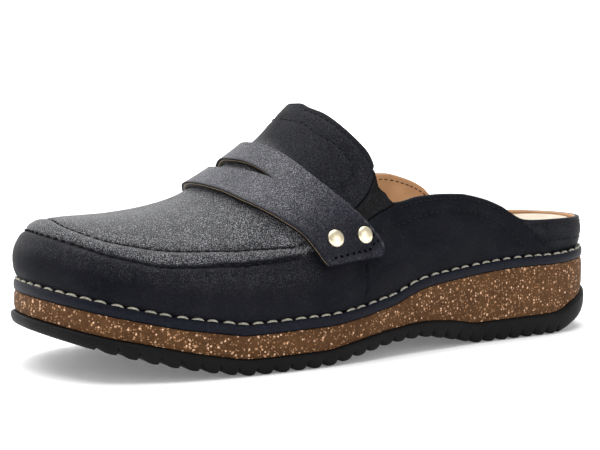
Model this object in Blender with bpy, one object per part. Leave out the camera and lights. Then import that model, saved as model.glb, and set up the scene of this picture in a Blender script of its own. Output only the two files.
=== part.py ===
"""Left clog with a cork wedge, a ribbed rubber outsole, a moc toe and a saddle strap.

The toe points along -X and the lateral side faces -Y. Lengths are metres, +Z is up, the
ground is z = 0. Sections run from the toe tip (station 0) to the back of the heel (1).
"""
import math

import bmesh
import bpy
import numpy as np
from mathutils import Vector

# Driving sizes of the sole
LENGTH = 0.262
BALL_WIDTH = 0.097
TOE_SPRING = 0.017
ARCH_RISE = 0.0057
HEEL_ROLL = 0.010
RUBBER = 0.0088
RUBBER_LIP = 0.0015
LUG_PITCH = 0.0071
LUG_DEPTH = 0.0024
FIRST_LUG = 0.0170
LAST_LUG = 0.2290
CORK = 0.0213
WELT_HEIGHT = 0.0040
WELT_WIDTH = 0.0036
FOOTBED = 0.0165
HEEL_CUP = 0.0045
FOOTBED_ROOM = 0.00075

# Driving sizes of the upper
TONGUE_HEIGHT = 0.1008
UPPER_INSET = 0.0021
WALL = 0.0024
BELLY = 0.0015
BELLY_HEIGHT = 0.020
CREASE = 0.0009
CREASE_HEIGHT = 0.004
BAND_RAISE = 0.0012
SEAM_DEPTH = 0.0004
SEAM_WIDTH = 0.0011
GORE_RECESS = 0.0016
GORE_THICKNESS = 0.0010
GORE_MARGIN = 0.0005
HEEL_BAND_STEP = 0.0011
STEP_WIDTH = 0.0004

# Driving sizes of the strap and its rivets
STRAP = 0.0023
STRAP_LIFT = 0.0006
SLOT_HALF = 0.48
SLOT_WIDTH = 0.12
SLOT_MIDDLE = 0.52
SLOT_DRIFT = 0.07
RIVET_DIAMETER = 0.0068
RIVET_DOME = 0.0017
RIVET_RIM = 0.0004

GAP = 0.0003
MERGE = 0.00001
LATERAL = -1
MEDIAL = 1

# Counts of the steps along each piece
SIDE_STATIONS = 44
BED_STATIONS = 36
FRONT_COLUMNS = 24
REAR_COLUMNS = 6
TOE_STEPS = 8
HEEL_STEPS = 9
RIVET_STEPS = 20
DOME_STEPS = 4

# Small angles, in radians, over which slopes of the form are taken
EDGE_TURN = 0.004
SKIN_TURN = 0.01
POLE_TURN = 0.2
SLIM_LIFT = 0.0001


class Table:
    """Rows of shares, one row for each station, read as smooth curves."""

    def __init__(self, columns, rows):
        self.values = {name: [row[i] for row in rows] for i, name in enumerate(columns)}

    def at(self, name, station):
        xs = self.values["station"]
        ys = self.values[name]
        slopes = [(ys[i + 1] - ys[i]) / (xs[i + 1] - xs[i]) for i in range(len(xs) - 1)]
        tangents = [slopes[0]]
        for before, after in zip(slopes, slopes[1:]):
            level = before * after <= 0
            tangents.append(0.0 if level else 2 * before * after / (before + after))
        tangents.append(slopes[-1])
        station = min(max(station, xs[0]), xs[-1])
        i = min(int(np.searchsorted(xs, station, side="right")) - 1, len(xs) - 2)
        width = xs[i + 1] - xs[i]
        t = (station - xs[i]) / width
        start = (1 + 2 * t) * (1 - t) ** 2 * ys[i] + t * (1 - t) ** 2 * width * tangents[i]
        end = t * t * (3 - 2 * t) * ys[i + 1] - t * t * (1 - t) * width * tangents[i + 1]
        return start + end


# Half widths as shares of BALL_WIDTH, before the round of toe and heel; bend is the
# sideways shift of the centre line towards the medial side
OUTLINE = Table(
    ("station", "lateral", "medial", "bend"),
    (
        (0.000, 0.850, 0.830, 0.036),
        (0.040, 0.840, 0.770, 0.034),
        (0.115, 0.715, 0.675, 0.027),
        (0.240, 0.610, 0.568, 0.014),
        (0.360, 0.540, 0.485, 0.004),
        (0.460, 0.487, 0.403, 0.000),
        (0.570, 0.432, 0.344, 0.000),
        (0.690, 0.4165, 0.356, 0.000),
        (0.780, 0.4505, 0.419, 0.000),
        (0.880, 0.543, 0.527, 0.000),
        (0.950, 0.638, 0.615, 0.000),
        (1.000, 0.720, 0.700, 0.000),
    ),
)

# Height of the tread as shares of TOE_SPRING, ARCH_RISE and HEEL_ROLL, and the thickness
# of rubber and cork as shares of RUBBER and CORK
SOLE = Table(
    ("station", "spring", "arch", "roll", "rubber", "cork"),
    (
        (0.000, 1.000, 0.00, 0.00, 0.53, 0.340),
        (0.065, 0.706, 0.00, 0.00, 0.60, 0.350),
        (0.140, 0.376, 0.00, 0.00, 0.73, 0.340),
        (0.230, 0.090, 0.00, 0.00, 0.70, 0.380),
        (0.275, 0.000, 0.00, 0.00, 0.67, 0.390),
        (0.390, 0.000, 0.00, 0.00, 0.68, 0.410),
        (0.460, 0.000, 0.44, 0.00, 0.68, 0.370),
        (0.520, 0.000, 0.86, 0.00, 0.65, 0.400),
        (0.580, 0.000, 1.00, 0.00, 0.70, 0.585),
        (0.650, 0.000, 0.51, 0.00, 0.88, 0.770),
        (0.710, 0.000, 0.00, 0.00, 0.95, 0.950),
        (0.800, 0.000, 0.00, 0.00, 1.00, 1.000),
        (0.865, 0.000, 0.00, 0.00, 1.03, 0.990),
        (0.930, 0.000, 0.00, 0.40, 1.13, 0.800),
        (1.000, 0.000, 0.00, 1.00, 1.02, 0.620),
    ),
)

# Top of the footbed's edge as a share of FOOTBED, and its hollow as a share of HEEL_CUP
BED = Table(
    ("station", "edge", "hollow"),
    (
        (0.00, 0.36, 0.10),
        (0.35, 0.40, 0.20),
        (0.50, 0.60, 0.45),
        (0.62, 0.84, 0.75),
        (0.75, 0.98, 1.00),
        (0.93, 1.00, 0.85),
        (1.00, 1.00, 0.50),
    ),
)

# The form of the upper: spine is where along the length a column's top lies, lean is how
# far the ridge stands to the medial side as a share of BALL_WIDTH, ridge is its height as
# a share of TONGUE_HEIGHT, power is the squareness of the arch
FORM = Table(
    ("station", "spine", "lean", "ridge", "power"),
    (
        (0.000, 0.100, 0.036, 0.5640, 3.10),
        (0.040, 0.112, 0.036, 0.5640, 2.90),
        (0.100, 0.150, 0.036, 0.5680, 2.60),
        (0.150, 0.185, 0.036, 0.5790, 2.40),
        (0.200, 0.220, 0.038, 0.5970, 2.25),
        (0.260, 0.264, 0.042, 0.6370, 2.10),
        (0.290, 0.290, 0.044, 0.6740, 2.00),
        (0.340, 0.340, 0.048, 0.7530, 1.94),
        (0.397, 0.397, 0.052, 0.8620, 1.90),
        (0.430, 0.430, 0.054, 0.9480, 1.88),
        (0.451, 0.451, 0.055, 1.0000, 1.88),
        (0.5200, 0.5200, 0.050, 1.1100, 1.85),
        (0.600, 0.600, 0.030, 1.1330, 1.85),
        (0.750, 0.730, 0.000, 1.1330, 1.90),
        (0.900, 0.800, 0.000, 1.1330, 1.90),
        (1.000, 0.830, 0.000, 1.1330, 1.90),
    ),
)

# Edges of the panels as shares of the arch's height above the welt: low is the lower
# apron seam, then the front edge of the quarter; high is the upper seam, then the tongue
PANELS = Table(
    ("station", "low", "high"),
    (
        (0.000, 0.775, 0.962),
        (0.020, 0.722, 0.902),
        (0.041, 0.671, 0.843),
        (0.079, 0.576, 0.752),
        (0.110, 0.530, 0.705),
        (0.154, 0.478, 0.651),
        (0.197, 0.477, 0.624),
        (0.240, 0.472, 0.596),
        (0.283, 0.438, 0.547),
        (0.326, 0.393, 0.484),
        (0.362, 0.370, 0.440),
        (0.450, 0.362, 0.440),
        (0.472, 0.364, 0.456),
        (0.494, 0.371, 0.481),
        (0.509, 0.378, 0.526),
        (0.514, 0.380, 0.572),
        (0.546, 0.395, 0.572),
    ),
)

# Height of the open edge as a share of TONGUE_HEIGHT, and what the medial side adds
TOPLINE = Table(
    ("station", "height", "medial"),
    (
        (0.4510, 1.000, 0.000),
        (0.4525, 0.984, 0.000),
        (0.4570, 0.973, 0.000),
        (0.4630, 0.961, 0.000),
        (0.4748, 0.923, 0.000),
        (0.4872, 0.881, 0.000),
        (0.4982, 0.844, 0.000),
        (0.5084, 0.807, 0.000),
        (0.5125, 0.778, 0.000),
        (0.5145, 0.745, 0.000),
        (0.5170, 0.676, 0.000),
        (0.5275, 0.650, 0.000),
        (0.5460, 0.603, 0.010),
        (0.5925, 0.623, 0.040),
        (0.6330, 0.628, 0.060),
        (0.6740, 0.625, 0.065),
        (0.7140, 0.606, 0.060),
        (0.7540, 0.570, 0.055),
        (0.7980, 0.508, 0.030),
        (0.8250, 0.501, 0.008),
        (0.8500, 0.500, 0.000),
        (1.0000, 0.500, 0.000),
    ),
)

TONGUE_FRONT = 0.4510
TONGUE_END = 0.5145
GORE_START = 0.445
GORE_END = 0.5460
QUARTER_BACK = 0.798
QUARTER_FOOT = 0.862
BAND_END = 0.345
BAND_GONE = 0.374

# Side profiles from the bottom edge up: inset as a share of RUBBER_LIP, and height as a
# share of the layer; the welt's last two rows are its inner face, at WELT_WIDTH
RUBBER_SIDE = ((1.1, 0.0), (0.25, 0.28), (0.0, 0.68), (0.15, 0.90), (0.8, 1.0))
CORK_SIDE = ((1.05, 0.0), (0.85, 0.35), (0.90, 0.75), (1.10, 1.0))
WELT_SIDE = ((1.05, 0.0), (0.80, 0.55), (1.10, 1.0))

# Along a lug: share of its pitch, and share of LUG_DEPTH cut away there
LUG_RISE = ((0.0, 1.0), (0.20, 0.30), (0.45, 0.0), (0.86, 0.0))

# Across the footbed: share of its width, and share of the hollow's depth
BED_HOLLOW = ((0.08, 0.45), (0.22, 0.85), (0.5, 1.0), (0.78, 0.85), (0.92, 0.45))

# Rows of the upper, as shares of the flank, of the apron or tongue, and of its inside
SIDE_ROWS = (0.0, 0.13, 0.3, 0.55, 0.8, 1.0)
PLUG_ROWS = (0.0, 0.18, 0.36, 0.56, 0.78, 1.0)
INNER_ROWS = (0.0, 0.15, 0.35, 0.55, 0.75, 0.88, 1.0)

# How high the raised strip stands at its borders, how the quarter's rear edge sweeps down
# to the welt, and the part of the length that a step across the leather takes
BAND_SHOULDER = 0.6
QUARTER_SWEEP = 0.8
STEP_SHARE = 0.0004

# Edges of the strap from the ridge (0) to the foot of its tab (1): where they lie along
# the length, and their height above the ground as shares of TONGUE_HEIGHT
STRAP_EDGES = Table(
    ("station", "front", "front_height", "rear", "rear_height", "taper"),
    (
        (0.00, 0.2788, 0.6590, 0.3722, 0.8110, 1.00),
        (0.19, 0.2835, 0.6500, 0.3790, 0.7990, 1.00),
        (0.32, 0.2915, 0.6380, 0.3860, 0.7770, 1.00),
        (0.46, 0.3038, 0.6120, 0.3970, 0.7380, 1.00),
        (0.60, 0.3250, 0.5780, 0.4130, 0.6840, 1.00),
        (0.73, 0.3475, 0.5360, 0.4390, 0.6170, 1.00),
        (0.83, 0.3700, 0.4900, 0.4649, 0.5530, 1.00),
        (0.92, 0.3861, 0.4320, 0.4880, 0.4880, 1.00),
        (0.97, 0.3945, 0.3980, 0.5020, 0.4360, 0.97),
        (1.00, 0.3990, 0.3740, 0.5060, 0.4000, 0.84),
    ),
)
RIVET_PLACES = (("front", 0.895, 0.36), ("rear", 0.920, 0.80))


def shade(name, colour, roughness, metallic=0.0):
    material = bpy.data.materials.new(name)
    material.use_nodes = True
    surface = material.node_tree.nodes["Principled BSDF"]
    surface.inputs["Base Color"].default_value = (*colour, 1.0)
    surface.inputs["Roughness"].default_value = roughness
    surface.inputs["Metallic"].default_value = metallic
    material.diffuse_color = (*colour, 1.0)
    return material


def make_object(name, vertices, faces, material, crease_angle=35.0):
    """Build a closed body from points and faces, joined where points coincide."""
    mesh = bpy.data.meshes.new(name)
    mesh.from_pydata([tuple(v) for v in vertices], [], faces)
    shape = bmesh.new()
    shape.from_mesh(mesh)
    bmesh.ops.remove_doubles(shape, verts=shape.verts[:], dist=MERGE)
    bmesh.ops.triangulate(shape, faces=shape.faces[:])
    bmesh.ops.recalc_face_normals(shape, faces=shape.faces[:])
    if shape.calc_volume(signed=True) < 0:
        bmesh.ops.reverse_faces(shape, faces=shape.faces[:])
    shape.to_mesh(mesh)
    shape.free()
    mesh.shade_smooth()
    mesh.set_sharp_from_angle(angle=math.radians(crease_angle))
    mesh.materials.append(material)
    body = bpy.data.objects.new(name, mesh)
    bpy.context.scene.collection.objects.link(body)
    return body


def blend(start, end, value):
    """Smooth step from 0 at start to 1 at end."""
    t = min(max((value - start) / (end - start), 0.0), 1.0)
    return t * t * (3 - 2 * t)


# Plan of the shoe


def station_of(turn):
    """Share of the length reached at an angle from the toe (0) round to the heel (pi)."""
    return (1 - math.cos(turn)) / 2


def turn_of(station):
    return math.acos(1 - 2 * station)


def rim(turn, side):
    """Point of the sole's outline, which carries on round past toe and heel."""
    if turn < 0:
        return rim(-turn, -side)
    if turn > math.pi:
        return rim(2 * math.pi - turn, -side)
    station = station_of(turn)
    column = "lateral" if side == LATERAL else "medial"
    half = BALL_WIDTH * OUTLINE.at(column, station) * math.sin(turn)
    x = (station - 0.5) * LENGTH
    return np.array((x, OUTLINE.at("bend", station) * BALL_WIDTH + side * half))


def outline(turn, side, inset):
    """Point of the outline moved inwards, square to the edge."""
    along = rim(turn + EDGE_TURN, side) - rim(turn - EDGE_TURN, side)
    outward = np.array((along[1], -along[0])) * -side
    return rim(turn, side) - inset * outward / np.linalg.norm(outward)


def even_turns(count):
    return [math.pi * i / count for i in range(count + 1)]


# Heights of the layers


def tread_height(station):
    spring = TOE_SPRING * SOLE.at("spring", station)
    return spring + ARCH_RISE * SOLE.at("arch", station) + HEEL_ROLL * SOLE.at("roll", station)


def rubber_top(station):
    return tread_height(station) + RUBBER * SOLE.at("rubber", station)


def cork_top(station):
    return rubber_top(station) + GAP + CORK * SOLE.at("cork", station)


def welt_top(station):
    return cork_top(station) + GAP + WELT_HEIGHT


# Layers of the sole


def layer(name, turns, profile, material, hollow=None):
    """Closed slab: a side profile swept round the outline, with a floor and a top.

    profile(turn) gives (inset, z) from the bottom edge to the top edge. hollow(turn) gives
    (share across, z) for points of the top between its two edges.
    """
    vertices = []
    faces = []
    columns = []
    for turn in turns:
        sides = []
        tip = turn in (turns[0], turns[-1])
        for side in (LATERAL,) if tip else (LATERAL, MEDIAL):
            sides.append([])
            for inset, z in profile(turn):
                sides[-1].append(len(vertices))
                vertices.append((*outline(turn, side, inset), z))
        across = []
        if hollow is not None and not tip:
            left = np.array(vertices[sides[0][-1]])
            right = np.array(vertices[sides[1][-1]])
            for share, z in hollow(turn):
                across.append(len(vertices))
                place = left + (right - left) * share
                vertices.append((place[0], place[1], z))
        columns.append((sides[0], sides[-1], across))
    for (left, right, across), (left2, right2, across2) in zip(columns, columns[1:]):
        for i in range(len(left) - 1):
            faces.append((left[i], left2[i], left2[i + 1], left[i + 1]))
            faces.append((right[i], right[i + 1], right2[i + 1], right2[i]))
        faces.append((left[0], right[0], right2[0], left2[0]))
        top = [left[-1], *across, right[-1]]
        top2 = [left2[-1], *across2, right2[-1]]
        if len(top) < len(top2):
            top = [left[-1]] * len(top2)
        if len(top2) < len(top):
            top2 = [left2[-1]] * len(top)
        for i in range(len(top) - 1):
            faces.append((top[i], top2[i], top2[i + 1], top[i + 1]))
    return make_object(name, vertices, tidy_faces(faces), material)


def tidy_faces(faces):
    """Drop repeated corners, and faces that they leave without an area."""
    kept = []
    for face in faces:
        corners = [v for i, v in enumerate(face) if v != face[i - 1]]
        if len(set(corners)) > 2:
            kept.append(tuple(corners))
    return kept


def lug_stations():
    """Stations of the outsole with the share of LUG_DEPTH cut away at each."""
    first = FIRST_LUG / LENGTH
    last = LAST_LUG / LENGTH
    count = round((LAST_LUG - FIRST_LUG) / LUG_PITCH)
    front = turn_of(first)
    back = turn_of(last)
    places = [(front * i / TOE_STEPS, 0.0) for i in range(TOE_STEPS)]
    for lug in range(count):
        for share, depth in LUG_RISE:
            place = first + (last - first) * (lug + share) / count
            places.append((turn_of(place), depth))
    places.append((back, 1.0))
    for i in range(HEEL_STEPS):
        places.append((back + (math.pi - back) * (i + 1) / HEEL_STEPS, 0.0))
    return places


def build_outsole():
    places = lug_stations()
    cut = dict(places)

    def profile(turn):
        station = station_of(turn)
        top = rubber_top(station)
        bottom = tread_height(station) + LUG_DEPTH * cut[turn]
        return [(RUBBER_LIP * out, bottom + (top - bottom) * up) for out, up in RUBBER_SIDE]

    material = shade("rubber_black", (0.018, 0.018, 0.019), 0.75)
    return layer("outsole", [turn for turn, depth in places], profile, material)


def build_midsole():
    def profile(turn):
        station = station_of(turn)
        bottom = rubber_top(station) + GAP
        top = cork_top(station)
        return [(RUBBER_LIP * out, bottom + (top - bottom) * up) for out, up in CORK_SIDE]

    material = shade("cork", (0.33, 0.19, 0.10), 0.85)
    return layer("midsole", even_turns(SIDE_STATIONS), profile, material)


def build_insole():
    inset = RUBBER_LIP + WELT_WIDTH + GAP + FOOTBED_ROOM

    def edge(station):
        return cork_top(station) + GAP + FOOTBED * BED.at("edge", station)

    def profile(turn):
        station = station_of(turn)
        return [(inset, cork_top(station) + GAP), (inset, edge(station))]

    def hollow(turn):
        station = station_of(turn)
        dip = HEEL_CUP * BED.at("hollow", station) * math.sin(turn)
        return [(share, edge(station) - dip * depth) for share, depth in BED_HOLLOW]

    material = shade("lining_beige", (0.72, 0.62, 0.50), 0.8)
    return layer("insole", even_turns(BED_STATIONS), profile, material, hollow)


def build_welt():
    """Ring of leather on the cork's edge, which carries the upper."""
    rows = [(RUBBER_LIP * out, up) for out, up in WELT_SIDE]
    rows += [(RUBBER_LIP + WELT_WIDTH, 1.0), (RUBBER_LIP + WELT_WIDTH, 0.0)]
    turns = even_turns(SIDE_STATIONS)
    loop = [(turn, LATERAL) for turn in turns]
    loop += [(turn, MEDIAL) for turn in reversed(turns[1:-1])]
    vertices = []
    for turn, side in loop:
        bottom = cork_top(station_of(turn)) + GAP
        for inset, up in rows:
            vertices.append((*outline(turn, side, inset), bottom + WELT_HEIGHT * up))
    faces = []
    size = len(rows)
    for i in range(len(loop)):
        here = i * size
        there = (i + 1) % len(loop) * size
        for j in range(size):
            k = (j + 1) % size
            faces.append((here + j, there + j, there + k, here + k))
    material = shade("leather_welt", (0.016, 0.018, 0.028), 0.6)
    return make_object("welt", vertices, faces, material)


# Form of the upper


def arch(turn, lift, side):
    """Point of the leather's plain outer surface.

    lift runs from 0 at the welt to a right angle at the ridge, and on down the far side.
    """
    if lift > math.pi / 2:
        return arch(turn, math.pi - lift, -side)
    if turn < 0:
        return arch(-turn, lift, -side)
    if turn > math.pi:
        return arch(2 * math.pi - turn, lift, -side)
    station = station_of(turn)
    spine = FORM.at("spine", station)
    power = FORM.at("power", station)
    middle = np.array(((spine - 0.5) * LENGTH, FORM.at("lean", station) * BALL_WIDTH))
    edge = outline(turn, side, UPPER_INSET)
    base = welt_top(station) + GAP
    top = TONGUE_HEIGHT * FORM.at("ridge", station)
    reach = (math.cos(lift) ** power + math.sin(lift) ** power) ** (-1 / power)
    place = middle + (edge - middle) * reach * math.cos(lift)
    return np.array((*place, base + (top - base) * reach * math.sin(lift)))


def lift_at_share(station, share):
    """Lift of a point whose height is a share of the arch's height at its column."""
    share = min(max(share, 0.0), 1.0)
    power = FORM.at("power", station)
    return math.atan2(share, (1 - share ** power) ** (1 / power))


def lift_at_height(station, height):
    base = welt_top(station) + GAP
    top = TONGUE_HEIGHT * FORM.at("ridge", station)
    return lift_at_share(station, (height - base) / (top - base))


def outward(turn, lift, side):
    """Direction square to the plain surface; at the toe's pole it is that of a near point."""
    if turn < SKIN_TURN and lift > math.pi / 2 - SKIN_TURN:
        return outward(POLE_TURN, lift, side)
    low = max(lift - SKIN_TURN, 0.0)
    along = arch(turn + SKIN_TURN, lift, side) - arch(turn - SKIN_TURN, lift, side)
    up = arch(turn, lift + SKIN_TURN, side) - arch(turn, low, side)
    normal = np.cross(along, up) * -side
    normal /= np.linalg.norm(normal)
    return normal


def belly(turn, lift, side):
    """How far the side stands out, or in at the crease above the welt."""
    above = arch(turn, lift, side)[2] - arch(turn, 0.0, side)[2]
    swell = BELLY * math.sin(math.pi * min(above / BELLY_HEIGHT, 1.0))
    return swell - CREASE * max(0.0, 1 - above / CREASE_HEIGHT) ** 2


def skin(turn, lift, side, offset):
    """Point at a distance outside the plain leather surface."""
    out = outward(turn, lift, side)
    if lift == 0.0:
        out = out * (1, 1, 0)
        out /= np.linalg.norm(out)
    return arch(turn, lift, side) + out * (offset + belly(turn, lift, side))


def top_lift(station, side):
    """Lift of the open edge, or of the ridge where the upper is closed."""
    if station <= TONGUE_FRONT:
        return math.pi / 2
    height = TOPLINE.at("height", station)
    if side == MEDIAL:
        height += TOPLINE.at("medial", station)
    return lift_at_height(station, TONGUE_HEIGHT * height)


def panel_lifts(station, side):
    """Lifts of the low and the high panel edge, kept under the open edge."""
    top = top_lift(station, side)
    if station >= QUARTER_BACK:
        share = max((QUARTER_FOOT - station) / (QUARTER_FOOT - QUARTER_BACK), 0.0)
        return share ** QUARTER_SWEEP * top, top, top
    if station >= GORE_END:
        return top, top, top
    low = min(lift_at_share(station, PANELS.at("low", station)), top)
    high = min(lift_at_share(station, PANELS.at("high", station)), top)
    if station >= TONGUE_END:
        high = top
    return low, max(low, high), top


def between_steps(station):
    """Offsets of the surface between the two panel edges: at its borders and its middle."""
    band = 1 - blend(BAND_END, BAND_GONE, station)
    gore = blend(BAND_GONE, GORE_START, station)
    if station >= GORE_END:
        gore = 0.0
        band = 0.0
    heel = HEEL_BAND_STEP if station > QUARTER_BACK else 0.0
    border = BAND_RAISE * BAND_SHOULDER * band - GORE_RECESS * gore - heel
    middle = BAND_RAISE * band - GORE_RECESS * gore - heel
    seam = -SEAM_DEPTH * band - GORE_RECESS * gore - heel
    return seam, border, middle


def lift_length(turn, lift, side):
    """Length on the leather, in metres, of one radian of lift."""
    step = arch(turn, lift + SKIN_TURN, side) - arch(turn, lift, side)
    return np.linalg.norm(step) / SKIN_TURN


def upper_rows(turn, side):
    """Lift and offset of each row of a column, from the welt to the ridge or edge."""
    station = station_of(turn)
    low, high, top = panel_lifts(station, side)
    seam, border, middle = between_steps(station)
    width = SEAM_WIDTH + (STEP_WIDTH - SEAM_WIDTH) * blend(BAND_END, BAND_GONE, station)
    delta = width / lift_length(turn, low, side)
    if low < SLIM_LIFT:
        side_rows = [(0.0, seam)] * len(SIDE_ROWS)
    else:
        edge = max(low - delta, low * 0.9)
        side_rows = [(edge * share, 0.0) for share in SIDE_ROWS]
    if high - low < SLIM_LIFT:
        gap_rows = [(low, 0.0 if low > SLIM_LIFT else seam)] * 5
    else:
        inner = min(delta, (high - low) / 4)
        gap_rows = [
            (low, seam),
            (low + inner, border),
            ((low + high) / 2, middle),
            (high - inner, border),
            (high, seam),
        ]
    plug_rows = []
    last = gap_rows[-1]
    for share in PLUG_ROWS:
        if top - high < SLIM_LIFT:
            plug_rows.append(last)
        else:
            start = min(high + delta, high + (top - high) / 6)
            plug_rows.append((start + (top - start) * share, 0.0))
    return side_rows + gap_rows + plug_rows


def upper_turns():
    """Stations of the upper, close together where its edges turn."""
    stations = [0.4525, 0.457, 0.463, 0.4748, 0.4872, 0.4982, 0.5084, 0.5125, TONGUE_END]
    stations += [0.517, 0.5275, GORE_END, 0.57, 0.60, 0.635, 0.67, 0.705, 0.735, 0.77, QUARTER_BACK]
    stations += [QUARTER_BACK + STEP_SHARE, 0.82, 0.84, QUARTER_FOOT, 0.885, 0.91]
    front = [turn_of(TONGUE_FRONT) * i / FRONT_COLUMNS for i in range(FRONT_COLUMNS + 1)]
    middle = [turn_of(station) for station in stations]
    back = turn_of(stations[-1])
    rear = [back + (math.pi - back) * (i + 1) / REAR_COLUMNS for i in range(REAR_COLUMNS)]
    return front + middle + rear


def build_upper():
    turns = upper_turns()
    vertices = []
    faces = []
    grids = {}
    for side in (LATERAL, MEDIAL):
        columns = []
        for turn in turns:
            column = []
            for lift, offset in upper_rows(turn, side):
                column.append(len(vertices))
                vertices.append(skin(turn, lift, side, offset))
            top = top_lift(station_of(turn), side)
            inner = []
            for share in INNER_ROWS:
                lift = top * share
                inner.append(len(vertices))
                place = arch(turn, lift, side)
                drop = outward(turn, lift, side)
                if share == 0.0:
                    drop = drop * (1, 1, 0)
                    drop /= np.linalg.norm(drop)
                vertices.append(place - drop * WALL)
            columns.append((column, inner))
        grids[side] = columns
    for side, columns in grids.items():
        for i in range(len(turns) - 1):
            (outer, inner), (outer2, inner2) = columns[i], columns[i + 1]
            quads = []
            for j in range(len(outer) - 1):
                quads.append((outer[j], outer2[j], outer2[j + 1], outer[j + 1]))
            for j in range(len(inner) - 1):
                quads.append((inner[j], inner[j + 1], inner2[j + 1], inner2[j]))
            quads.append((inner[0], inner2[0], outer2[0], outer[0]))
            if station_of(turns[i + 1]) > TONGUE_FRONT + 1e-9:
                quads.append((outer[-1], outer2[-1], inner2[-1], inner[-1]))
            faces += quads if side == LATERAL else [tuple(reversed(quad)) for quad in quads]
    material = shade("leather_navy", (0.020, 0.024, 0.040), 0.55)
    return make_object("upper", vertices, faces, material, 40.0)


# Pieces laid on the upper


def patch(name, lower, upper, quads, material, crease_angle=40.0):
    """Closed plate between two matching grids of points.

    quads lists the grid cells as point numbers; the plate's rim follows their free edges.
    """
    count = len(lower)
    vertices = list(lower) + list(upper)
    edges = {}
    for quad in quads:
        for i, start in enumerate(quad):
            edges[(start, quad[(i + 1) % len(quad)])] = True
    faces = [tuple(reversed(quad)) for quad in quads]
    faces += [tuple(v + count for v in quad) for quad in quads]
    for start, end in edges:
        if (end, start) not in edges:
            faces.append((start, end, end + count, start + count))
    return make_object(name, vertices, faces, material, crease_angle)


def build_gore(side, name, material):
    """Elastic wedge between the tongue and the quarter, laid in its recess."""
    turns = [turn for turn in upper_turns() if GORE_START < station_of(turn) < GORE_END - MERGE]
    shares = (0.0, 0.33, 0.67, 1.0)
    lower = []
    upper = []
    for turn in turns:
        low, high, top = panel_lifts(station_of(turn), side)
        margin = GORE_MARGIN / lift_length(turn, low, side)
        for share in shares:
            lift = low + margin + (high - low - 2 * margin) * share
            lower.append(skin(turn, lift, side, GAP - GORE_RECESS))
            upper.append(skin(turn, lift, side, GAP - GORE_RECESS + GORE_THICKNESS))
    quads = []
    size = len(shares)
    for i in range(len(turns) - 1):
        for j in range(size - 1):
            a = i * size + j
            quads.append((a, a + size, a + size + 1, a + 1))
    return patch(name, lower, upper, quads, material)


def strap_point(down, across, side, height):
    """Point on the strap: down from the ridge (0) to the tab's foot (1), across from its
    front edge (0) to its rear edge (1), height above the strap's own underside."""
    taper = STRAP_EDGES.at("taper", down)
    across = 0.5 + (across - 0.5) * taper
    stations = [STRAP_EDGES.at(edge, down) for edge in ("front", "rear")]
    lifts = []
    for edge, station in zip(("front_height", "rear_height"), stations):
        if down == 0.0:
            lifts.append(math.pi / 2)
        else:
            lifts.append(lift_at_height(station, TONGUE_HEIGHT * STRAP_EDGES.at(edge, down)))
    station = stations[0] + (stations[1] - stations[0]) * across
    lift = lifts[0] + (lifts[1] - lifts[0]) * across
    return skin(turn_of(station), lift, side, STRAP_LIFT + height)


def build_strap():
    downs = (0.0, 0.08, 0.16, 0.24, 0.32, 0.40, SLOT_HALF, 0.56, 0.64, 0.72, 0.79, 0.86, 0.92)
    downs += (0.96, 0.985, 1.0)
    places = [(down, MEDIAL) for down in reversed(downs[1:])]
    places += [(down, LATERAL) for down in downs]
    lower = []
    upper = []
    widths = []
    for down, side in places:
        slit = SLOT_WIDTH * max(0.0, 1 - (down / SLOT_HALF) ** 2)
        middle = SLOT_MIDDLE + SLOT_DRIFT * min(down / SLOT_HALF, 1.0)
        acrosses = (0.0, 0.18, 0.34, middle - slit, middle + slit, 0.72, 0.86, 1.0)
        widths.append(slit)
        for across in acrosses:
            lower.append(strap_point(down, across, side, 0.0))
            upper.append(strap_point(down, across, side, STRAP))
    quads = []
    size = len(acrosses)
    for i in range(len(places) - 1):
        for j in range(size - 1):
            if j == 3:
                continue
            a = i * size + j
            quads.append((a, a + 1, a + size + 1, a + size))
    for i, slit in enumerate(widths):
        if slit == 0.0:
            quads = [tuple(v - 1 if v == i * size + 4 else v for v in quad) for quad in quads]
    material = shade("leather_strap", (0.024, 0.028, 0.046), 0.5)
    return patch("saddle_strap", lower, upper, quads, material)


def build_rivet(name, down, across, side, material):
    """Domed head on the strap's tab, turned about the strap's own normal."""
    seat = strap_point(down, across, side, STRAP + GAP)
    out = Vector(seat - strap_point(down, across, side, 0.0)).normalized()
    radius = RIVET_DIAMETER / 2
    shape = bmesh.new()
    profile = [(0.0, 0.0), (radius, 0.0), (radius, RIVET_RIM)]
    for i in range(1, DOME_STEPS):
        angle = math.pi / 2 * i / DOME_STEPS
        height = RIVET_RIM + (RIVET_DOME - RIVET_RIM) * math.sin(angle)
        profile.append((radius * math.cos(angle), height))
    profile.append((0.0, RIVET_DOME))
    points = [shape.verts.new((x, 0.0, z)) for x, z in profile]
    edges = [shape.edges.new(pair) for pair in zip(points, points[1:])]
    bmesh.ops.spin(
        shape, geom=points + edges, axis=(0, 0, 1), cent=(0, 0, 0), angle=math.tau, steps=RIVET_STEPS
    )
    mesh = bpy.data.meshes.new(name)
    shape.to_mesh(mesh)
    shape.free()
    vertices = [v.co.copy() for v in mesh.vertices]
    faces = [tuple(face.vertices) for face in mesh.polygons]
    bpy.data.meshes.remove(mesh)
    rivet = make_object(name, vertices, faces, material)
    rivet.rotation_mode = "QUATERNION"
    rivet.rotation_quaternion = Vector((0, 0, 1)).rotation_difference(out)
    rivet.location = seat
    return rivet


def centre(bodies):
    """Stand the shoe over the origin by its overall box."""
    bpy.context.view_layer.update()
    corners = []
    for body in bodies:
        corners += [body.matrix_world @ vertex.co for vertex in body.data.vertices]
    low = [min(corner[i] for corner in corners) for i in range(3)]
    high = [max(corner[i] for corner in corners) for i in range(3)]
    shift = Vector((-(low[0] + high[0]) / 2, -(low[1] + high[1]) / 2, -low[2]))
    for body in bodies:
        body.location += shift


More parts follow.
